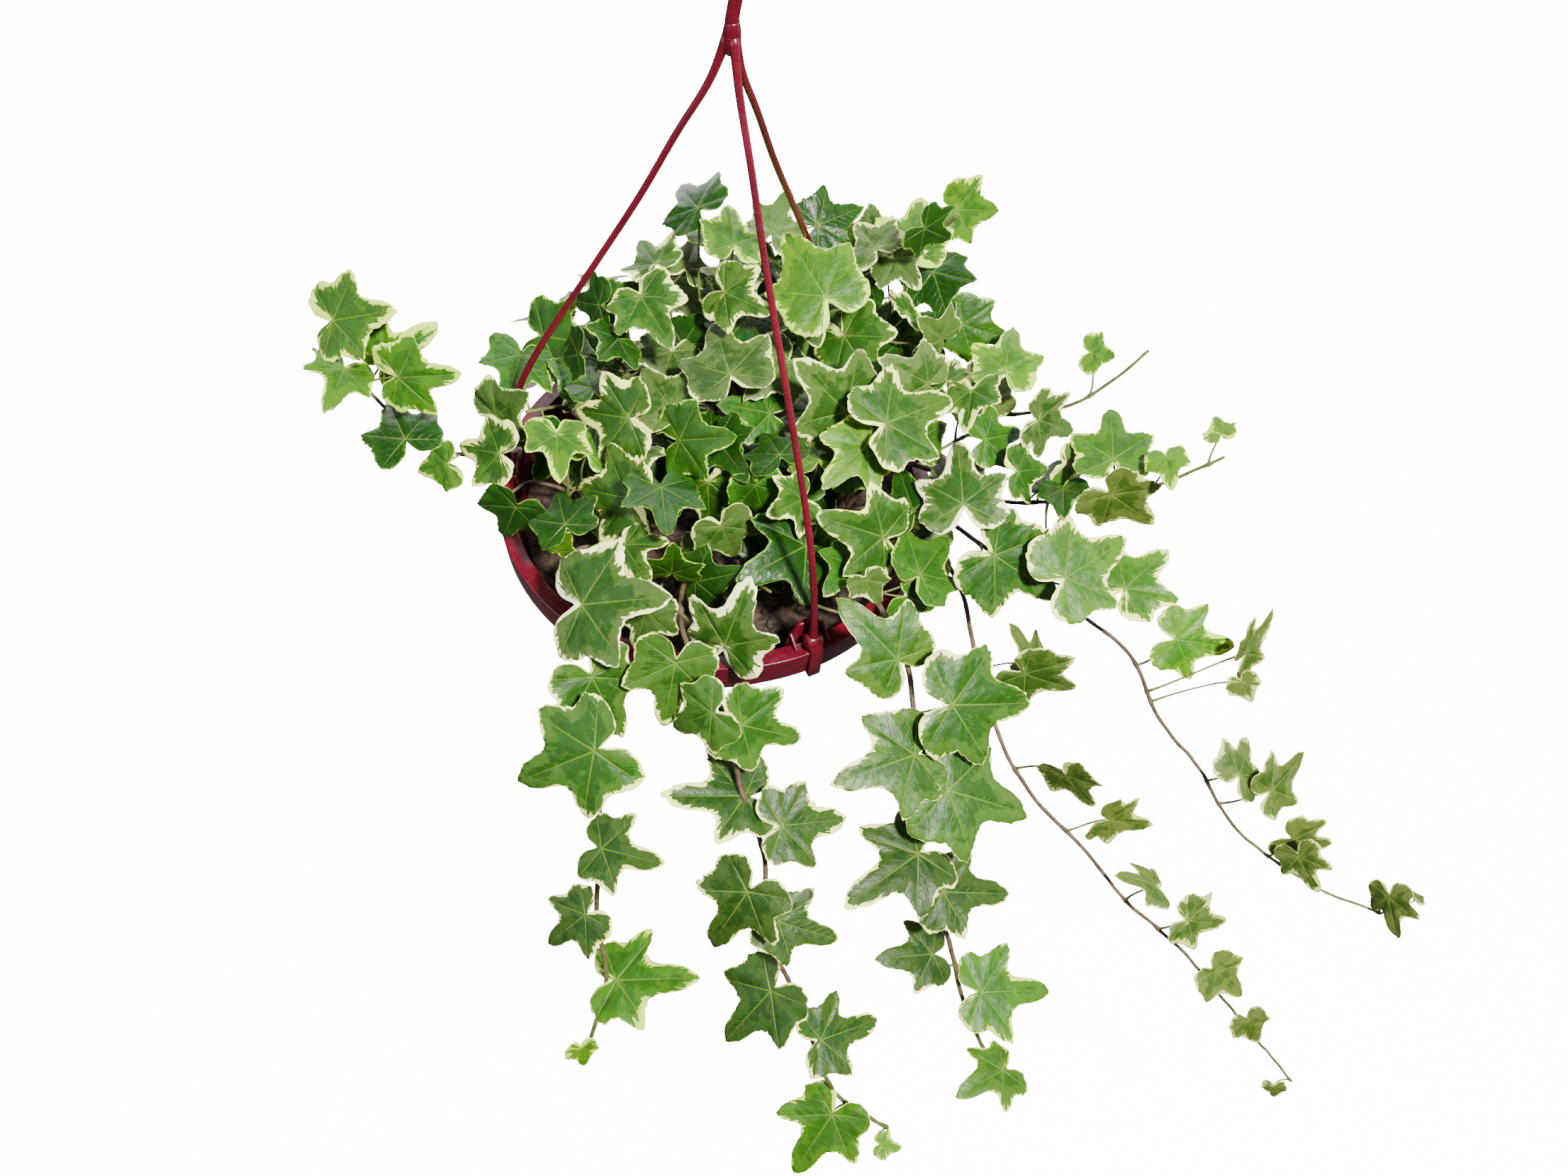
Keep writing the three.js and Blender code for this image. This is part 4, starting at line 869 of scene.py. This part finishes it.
# The distance in mm from a stem's middle line to the corners of its solid
STEM_CORNERS = (1.35, 1.75)


def draw(stem, leaf, attempt, use):
    """A repeatable draw from 0 to 1, the same one that placed the stems."""
    def times(a, b):
        return (a * b) & 0xffffffff
    h = times(stem + 1, 0x9e3779b1) ^ times(leaf + 1, 0x85ebca6b)
    h ^= times(attempt + 1, 0xc2b2ae35) ^ times(use + 1, 0x27d4eb2f)
    h = times(h ^ (h >> 15), 0x2c1b3c6d)
    h = times(h ^ (h >> 12), 0x297a2d39)
    return (h ^ (h >> 15)) / 4294967296


def canopy_height(x, y):
    """The height of the crown's top over a place: it falls towards the front and past the rim."""
    r = math.sqrt(x * x + y * y + 1)
    right = max(0.0, x / r)
    left_back = max(0.0, (y - x) / (r * math.sqrt(2)))
    past = max(0.0, r - 104 + 22 * left_back)
    return 70 + 0.45 * y - (0.75 + 0.9 * left_back) * (1 - 0.8 * right * right) * past


def crown_route(i):
    """The foot and the route of one of the crown's stems."""
    share = (i + 0.5) / CROWN_STEMS
    azimuth = i * GOLDEN_ANGLE + 40
    foot = 10 + 68 * math.sqrt(share)
    right = max(0.0, math.cos(math.radians(azimuth)))
    reach = 24 + 18 * share + 34 * share * right
    end = polar(foot + reach, azimuth + 8, 0)
    rise = canopy_height(end[0], end[1]) - 26
    route = [polar(foot + reach * out, azimuth, rise * up) for out, up in ((0.2, 0.45), (0.55, 0.85))]
    return polar(foot, azimuth, 0), route + [[end[0], end[1], rise]]


def stem_points(route, foot, order, attempt):
    """The points of a stem's middle line from its root, moved aside and up a little with each attempt."""
    swing = attempt * 3 * (draw(order, 0, attempt, 20) - 0.5)
    foot = foot or [route[0][0] * 0.92, route[0][1] * 0.92, 0]
    points = [[foot[0], foot[1], z] for z in (-ROOT_DEPTH + 0.3, -SOIL_DROP - 6, -6)]
    lift = attempt * (draw(order, 1, attempt, 21) - 0.5)
    for x, y, z in route:
        aside = unit(np.array([-y, x, 0.0])) * swing
        points.append([x + aside[0], y + aside[1], z + lift])
    return points


def stem_path(name, vertices):
    """The smooth line of a stem, at the attempt whose line has the node's tube round it."""
    if name in ROUTES:
        order, foot, route = list(ROUTES).index(name), None, ROUTES[name]
    else:
        lowest = vertices[vertices[:, 2] < vertices[:, 2].min() + 3].mean(0)
        feet = [crown_route(i) for i in range(CROWN_STEMS)]
        i = min(range(CROWN_STEMS), key=lambda k: math.dist(feet[k][0][:2], lowest[:2]))
        order, (foot, route) = len(ROUTES) + i, feet[i]
    most, best = -1, None
    for attempt in range(ATTEMPTS):
        line = smooth_path(stem_points(route, foot, order, attempt), 2.0)
        gaps = np.sqrt(((vertices[:, None, :] - line[None, :, :]) ** 2).sum(-1)).min(1)
        met = int(((gaps > STEM_CORNERS[0]) & (gaps < STEM_CORNERS[1])).sum())
        if met > most:
            most, best = met, line
    return best


def add_stem(piece, line, roots, thin):
    line = line[np.argmax(line[:, 2] > -SOIL_DROP - 9):]
    share = np.linspace(0, 1, len(line))
    wobble = np.column_stack([noise(line + 31 * k, 0.09) for k in range(3)]) * 0.5
    path = line + wobble
    radii = STEM_WIDE + (thin - STEM_WIDE) * share ** 0.8
    for root in roots:
        gap = norm(line - root, axis=1)
        radii = radii + 0.35 * np.exp(-(gap / 1.8) ** 2)
    radii = radii * (1 + 0.10 * noise(line, 0.4))
    points, faces = tube(path, radii, STEM_SIDES)
    green = np.concatenate([np.repeat(np.clip((share - 0.62) * 1.8, 0.0, 0.75), STEM_SIDES), [0, 0.7]])
    piece.add(points, faces, 1, stem_green=green[:, None])


# A leaf of a hanging stem that is below this height, in mm, is slimmer, and if its edge is pale its greens
# are painted darker as painted shade (SHADED); the others keep the painted lightness LIT
HANGING_HEIGHT = -12
HANGING_SLIM = 0.85
UPRIGHT_SLIM = 0.3
SHADED_KINDS = ("edged", "trimmed", "strand", "grey")
SHADED = 0.52
LIT = 0.92

# The radius in mm of a small leaf's stalk and of a large one's, and the length at which a leaf is large
SMALL_LEAF = 24
SMALL_STALK = 0.72
LARGE_STALK = 0.85

for index, name in enumerate(sorted(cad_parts)):
    if not name.startswith(("trail_", "crown_")):
        continue
    dice = random.Random(1000 + index)
    vertices, near, leaves = leaves_of(name)
    line = stem_path(name, vertices)
    piece = Piece()
    roots = []
    for leaf in leaves:
        root = stalk_root(vertices, near, leaf, line)
        roots.append(root)
        hanging = name.startswith(("trail_front", "trail_right", "trail_back"))
        kind = kind_of(name, leaf, dice)
        below = hanging and leaf["attach"][2] < HANGING_HEIGHT
        # Painted shade: a low hanging leaf with a pale edge gets darker greens
        painted_lightness = SHADED if below and kind in SHADED_KINDS else LIT
        add_blade(piece, leaf, kind, HANGING_SLIM if below else UPRIGHT_SLIM, painted_lightness, dice)
        add_stalk(piece, leaf, root, dice, SMALL_STALK if leaf["size"] < SMALL_LEAF else LARGE_STALK)
    stout = name.startswith(("trail_front", "trail_back"))
    add_stem(piece, line, roots, STOUT_STEM_THIN if stout else STEM_THIN)
    made = piece.build("ivy_" + name, [LEAF, STEM])
    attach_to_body(made, "root")
    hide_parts(name)


# Pot, soil and hanger

# The bowl's outside and the middle line of an arm are given as (radius, height)
RIM_RADIUS = 110
LEDGE_WIDTH = 6.5
BAND_HEIGHT = 17
BAND_DRAFT = 1.2
WALL = 2
POT_DEPTH = 88
ARM_AZIMUTHS = (-63.4, 56.6, 176.6)
ARM_ROUTE = [(1.5, 256), (8, 236), (20, 212), (36, 178), (59, 134), (82, 90), (95, 60), (102.5, 32),
             (106.2, 5)]
ARM_RADIUS = 1.55
TURNED_SIDES = 144
OUTER_WALL = [(48, -88), (63, -80.5), (79, -66), (90.5, -48), (98, -30), (101.5, -17)]
HOLES = 5
HOLE_CIRCLE = 30
HOLE_RADIUS = 4

# The lug at each arm, drawn as (distance aside, height), and the webs beside it, as (radius, height)
LUG_OUTLINE = [(-10, -12), (10, -12), (10, 0.5), (4.6, 12), (-4.6, 12), (-10, 0.5)]
WEB_OUTLINE = [(98.6, -1.0), (107.2, -1.0), (107.2, 0.7), (99.6, 6.0), (98.6, 6.0)]

# The strap that clasps the rim at each arm's foot, as (radius, height), and the knuckle across it
STRAP_OUTLINE = [(104.6, 0.4), (109.4, 0.4), (109.4, -17.4), (106.4, -17.4), (106.4, -19.3), (111.3, -19.3),
                 (111.3, 1.6), (109.9, 4.6), (104.6, 4.6)]
STRAP_WIDTH = 6.5
KNUCKLE = (106.0, 4.6)

# The hub where the arms meet, as (radius, height), and the hook above it with the angles along its bend
HUB = [(0.05, 248), (2.2, 248.6), (3.4, 251), (3.4, 258), (2.8, 261), (2.6, 262), (0.05, 262)]
HOOK_MIDDLE = 296
HOOK_MOUTH_RADIUS = 9
HOOK_BAR_RADIUS = 2.6
HOOK_TURN = (-70, -30, 15, 60, 100, 140, 180, 205)

# The soil's top, which is highest in the middle, and its body under that from the wall's inside to the floor,
# as (radius, height). A small share of the crumbs are pale grains.
SOIL_RADIUS = 98.0
SOIL_RISE = 5
SOIL_FALL = 7
SOIL_RINGS = 80
SOIL_SIDES = 300
SOIL_BODY = [(97.2, -24.5), (95.2, -31), (87.5, -49), (75.5, -66), (46, -85.6)]
CRUMBS = 520
CRUMB_SIZES = (0.8, 1.1, 1.5, 2.2, 3.0)
PALE_CRUMBS = 0.06
CRUMB_ROWS = 4
CRUMB_SIDES = 7


def boolean(target, cutters):
    for cutter in cutters:
        cut = target.modifiers.new("cut", "BOOLEAN")
        cut.operation, cut.solver, cut.object = "DIFFERENCE", "EXACT", cutter
    bpy.context.view_layer.update()
    graph = bpy.context.evaluated_depsgraph_get()
    done = bpy.data.meshes.new_from_object(target.evaluated_get(graph))
    target.modifiers.clear()
    target.data = done
    for cutter in cutters:
        bpy.data.objects.remove(cutter)


def add_prism(piece, points, sections):
    """A solid from equal rings of points, closed by flat ends."""
    n = len(points) // sections
    faces = ring_faces(sections, n)
    faces.append(list(range(n))[::-1])
    faces.append(list(range((sections - 1) * n, sections * n)))
    piece.add(points, faces)


def block(piece, outline, azimuth, width, middle, rounding):
    """A rounded plate drawn as (radius, height) in an arm's plane, and as wide as given across it."""
    shape = np.array(rounded(outline, rounding, 3))
    centre = shape.mean(0)
    edge = width / 2
    points = []
    for off, shrink in ((-edge, 0.93), (-edge + 0.45, 1), (edge - 0.45, 1), (edge, 0.93)):
        points += [polar(r, azimuth, z, off + middle) for r, z in centre + (shape - centre) * shrink]
    add_prism(piece, points, 4)


def build_pot():
    piece = Piece()
    wall = RIM_RADIUS - LEDGE_WIDTH
    inner = [(r - WALL, z + WALL * (1 - i / len(OUTER_WALL))) for i, (r, z) in enumerate(OUTER_WALL)]
    outer_curve = smooth_path([(r, z, 0) for r, z in OUTER_WALL], 3.0)[:, :2]
    inner_curve = smooth_path([(r, z, 0) for r, z in inner], 3.0)[:, :2][::-1]
    lip = rounded([(wall, -WALL), (RIM_RADIUS - WALL, -WALL), (RIM_RADIUS - WALL - BAND_DRAFT, -BAND_HEIGHT),
                   (RIM_RADIUS - BAND_DRAFT, -BAND_HEIGHT), (RIM_RADIUS, -BAND_DRAFT * 0.4),
                   (RIM_RADIUS - BAND_DRAFT * 0.4, 0.05), (wall - WALL, 0.05)], 1.3)
    foot = [(0.05, -POT_DEPTH), (30, -POT_DEPTH), (33, -POT_DEPTH + 1.2), (38, -POT_DEPTH + 1.2),
            (40.5, -POT_DEPTH)]
    profile = [*foot, *outer_curve, *lip, *inner_curve, (0.05, -POT_DEPTH + WALL)]
    piece.add(*lathe(profile, TURNED_SIDES))
    made = piece.build("pot_bowl", [PLASTIC])
    cutters = []
    for x, y, _ in circle(HOLE_CIRCLE, 0, HOLES):
        hole = Piece()
        hole.add(*tube([[x, y, -POT_DEPTH - 5], [x, y, -POT_DEPTH + 6]], [HOLE_RADIUS, HOLE_RADIUS], 24))
        cutters.append(hole.build("hole", []))
    boolean(made, cutters)
    fittings = Piece()
    lug = rounded(LUG_OUTLINE, 1.6)
    for azimuth in ARM_AZIMUTHS:
        points = []
        for r, shrink in ((97.6, 0.95), (98.0, 1), (99.9, 1), (100.3, 0.95)):
            points += [polar(r, azimuth, z * shrink, aside * shrink) for aside, z in lug]
        add_prism(fittings, points, 4)
        for off in (-8.2, 8.2):
            block(fittings, WEB_OUTLINE, azimuth, 1.6, off, 0.5)
    lugs = fittings.build("pot_lugs", [PLASTIC])
    for one in (made, lugs):
        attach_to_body(one, "root")
    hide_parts("pot")


def build_hanger():
    piece = Piece()
    sides = 16
    for azimuth in ARM_AZIMUTHS:
        path = smooth_path([polar(r, azimuth, z) for r, z in ARM_ROUTE], 3.0)
        share = np.linspace(0, 1, len(path))
        swell = 0.7 * np.exp(-(1 - share) * 26) + 0.5 * np.exp(-share * 22)
        radii = ARM_RADIUS * (0.94 + 0.10 * share + swell)
        piece.add(*tube(path, radii, sides))
        r, z = KNUCKLE
        spots = [polar(r, azimuth, z, aside) for aside in (-4.0, -3.5, 3.5, 4.0)]
        piece.add(*tube(spots, [3.6, 4.2, 4.2, 3.6], 24))
        block(piece, STRAP_OUTLINE, azimuth, STRAP_WIDTH, 0.0, 0.9)
    piece.add(*lathe(HUB, 32))
    bend = HOOK_MOUTH_RADIUS + HOOK_BAR_RADIUS
    hook = [(0, 0, 254), (0, 0, 264)]
    for a in np.radians(HOOK_TURN):
        hook.append((bend * math.cos(a), 0, HOOK_MIDDLE + bend * math.sin(a)))
    path = smooth_path(hook, 1.2)
    share = np.linspace(0, 1, len(path))
    piece.add(*tube(path, HOOK_BAR_RADIUS * (1 - 0.12 * share ** 8), sides))
    made = piece.build("hanger_moulding", [PLASTIC])
    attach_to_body(made, "root")
    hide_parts("hanger")


def build_soil():
    dice = random.Random(5)
    piece = Piece()
    rings, sides = SOIL_RINGS, SOIL_SIDES
    points = [[0, 0, -SOIL_DROP + SOIL_RISE]]
    for k in range(1, rings + 1):
        r = SOIL_RADIUS * k / rings
        points += circle(r, -SOIL_DROP + SOIL_RISE - SOIL_FALL * (r / SOIL_RADIUS) ** 2, sides)
    points = np.array(points)
    height = 3.2 * noise(points, 0.035) + 2.3 * noise(points + 50, 0.085) + 1.3 * noise(points + 90, 0.2)
    ridge = 1 - np.abs(noise(points + 20, 0.13))
    height += 1.6 * ridge ** 3 + 0.7 * noise(points + 9, 0.45)
    far = norm(points[:, :2], axis=1) / SOIL_RADIUS
    points[:, 2] += height * np.clip((1 - far) * 12, 0.35, 1) - 0.6
    top = points
    body = [point for r, z in SOIL_BODY for point in circle(r, z, sides)]
    points = np.vstack([top, body, [[0, 0, SOIL_BODY[-1][1]]]])
    faces = [[0, 1 + i, 1 + j] for i, j in around(sides)]
    faces += [face[::-1] for face in ring_faces(rings + len(SOIL_BODY), sides, 1)]
    last = len(points) - 1 - sides
    faces += [[last + j, last + i, len(points) - 1] for i, j in around(sides)]
    piece.add(points, faces, 0, soil_kind=0.0)
    for _ in range(CRUMBS):
        r, a = 95 * math.sqrt(dice.random()), dice.uniform(0, 6.283)
        x, y = r * math.cos(a), r * math.sin(a)
        ring = min(rings, max(1, round(r / SOIL_RADIUS * rings)))
        z = top[1 + (ring - 1) * sides + int(a / 6.2832 * sides) % sides][2]
        size = dice.choice(CRUMB_SIZES)
        stretch = np.array([dice.uniform(0.6, 1.5), dice.uniform(0.6, 1.3), dice.uniform(0.45, 0.9)]) * size
        turn = Matrix.Rotation(dice.uniform(0, FULL_TURN), 3, "Z")
        turn = turn @ Matrix.Rotation(dice.uniform(-0.6, 0.6), 3, "X")
        crumb = []
        for p in range(CRUMB_ROWS + 1):
            for q in range(CRUMB_SIDES):
                u, v = math.pi * p / CRUMB_ROWS, 2 * math.pi * q / CRUMB_SIDES
                bulge = math.sin(u) * (1 + 0.22 * dice.uniform(-1, 1))
                w = turn @ Vector(stretch * (bulge * math.cos(v), bulge * math.sin(v), math.cos(u)))
                crumb.append([x + w.x, y + w.y, z + w.z + size * 0.15])
        piece.add(crumb, ring_faces(CRUMB_ROWS + 1, CRUMB_SIDES), 0,
                  soil_kind=0.9 if dice.random() < PALE_CRUMBS else 0.0)
    made = piece.build("soil_fill", [SOIL])
    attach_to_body(made, "root")
    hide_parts("soil")


build_pot()
build_hanger()
build_soil()


# Floor, light and camera

FLOOR_HEIGHT = -0.78
FLOOR_RADIUS = 4.5
BACKDROP_BEND = 1.5
BACKDROP_TOP = 4.5


def stage():
    """A pale floor that curves up into a backdrop on every side. It only shows: no light comes from it."""
    sides = 64
    points = circle(FLOOR_RADIUS, FLOOR_HEIGHT, sides)
    for a in np.linspace(0.2, math.pi / 2, 8):
        points += circle(FLOOR_RADIUS + BACKDROP_BEND * math.sin(a),
                         FLOOR_HEIGHT + BACKDROP_BEND * (1 - math.cos(a)), sides)
    points += circle(FLOOR_RADIUS + BACKDROP_BEND, BACKDROP_TOP, sides)
    faces = [list(range(sides))] + ring_faces(10, sides)
    mesh = bpy.data.meshes.new("studio_floor")
    mesh.from_pydata(points, [], faces)
    mesh.materials.append(floor_material())
    made = put_in_scene("studio_floor", mesh)
    made.visible_glossy = False
    made.visible_diffuse = False
    made.visible_shadow = False


# Area lights: name, place, size, power and colour. All of them face the plant's middle.
WHITE = (1.0, 1.0, 1.0)
LIGHTS = [
    ("key", (0.60, -0.92, 1.42), 0.20, 162, (1.0, 0.985, 0.91)),
    ("fill_left", (-1.3, -0.7, 0.3), 1.4, 16, WHITE),
    ("rim_back", (0.2, 1.4, 0.8), 1.2, 20, WHITE),
    ("fill_back", (-0.3, 1.5, -0.2), 1.4, 24, WHITE),
    ("fill_right", (1.5, 0.3, 0.0), 1.3, 9, WHITE),
]
LIT_MIDDLE = Vector((0.03, -0.06, -0.30))

stage()
for name, place, size, power, colour in LIGHTS:
    light = bpy.data.lights.new(name, "AREA")
    light.size, light.energy, light.color = size, power, colour
    made = put_in_scene(name, light)
    made.location = place
    made.rotation_euler = (LIT_MIDDLE - Vector(place)).to_track_quat("-Z", "Y").to_euler()

world = bpy.data.worlds.new("studio")
bpy.context.scene.world = world
world.use_nodes = True
tree = world.node_tree
coordinates = tree.nodes.new("ShaderNodeTexCoord")
apart = tree.nodes.new("ShaderNodeSeparateXYZ")
height = tree.nodes.new("ShaderNodeMapRange")
for socket, value in (("From Min", -0.35), ("From Max", 0.6), ("To Min", 0.13), ("To Max", 0.36)):
    height.inputs[socket].default_value = value
tree.links.new(coordinates.outputs["Generated"], apart.inputs[0])
tree.links.new(apart.outputs[2], height.inputs["Value"])
background = tree.nodes["Background"]
background.inputs[0].default_value = (1.0, 1.0, 0.97, 1)
tree.links.new(height.outputs[0], background.inputs[1])

lens = bpy.data.cameras.new("photo_camera")
lens.sensor_width = SENSOR
lens.lens = PICTURE_AWAY / PICTURE_SIZE[0] * SENSOR
lens.clip_start = 0.02
camera = put_in_scene("photo_camera", lens)
turn = Matrix((EYE_RIGHT, EYE_UP, -EYE_AHEAD)).transposed().to_4x4()
place = Matrix.Translation(Vector(EYE * MM) - Vector((0, 0, RIM_DROP)))
camera.matrix_world = place @ turn
bpy.context.scene.camera = camera
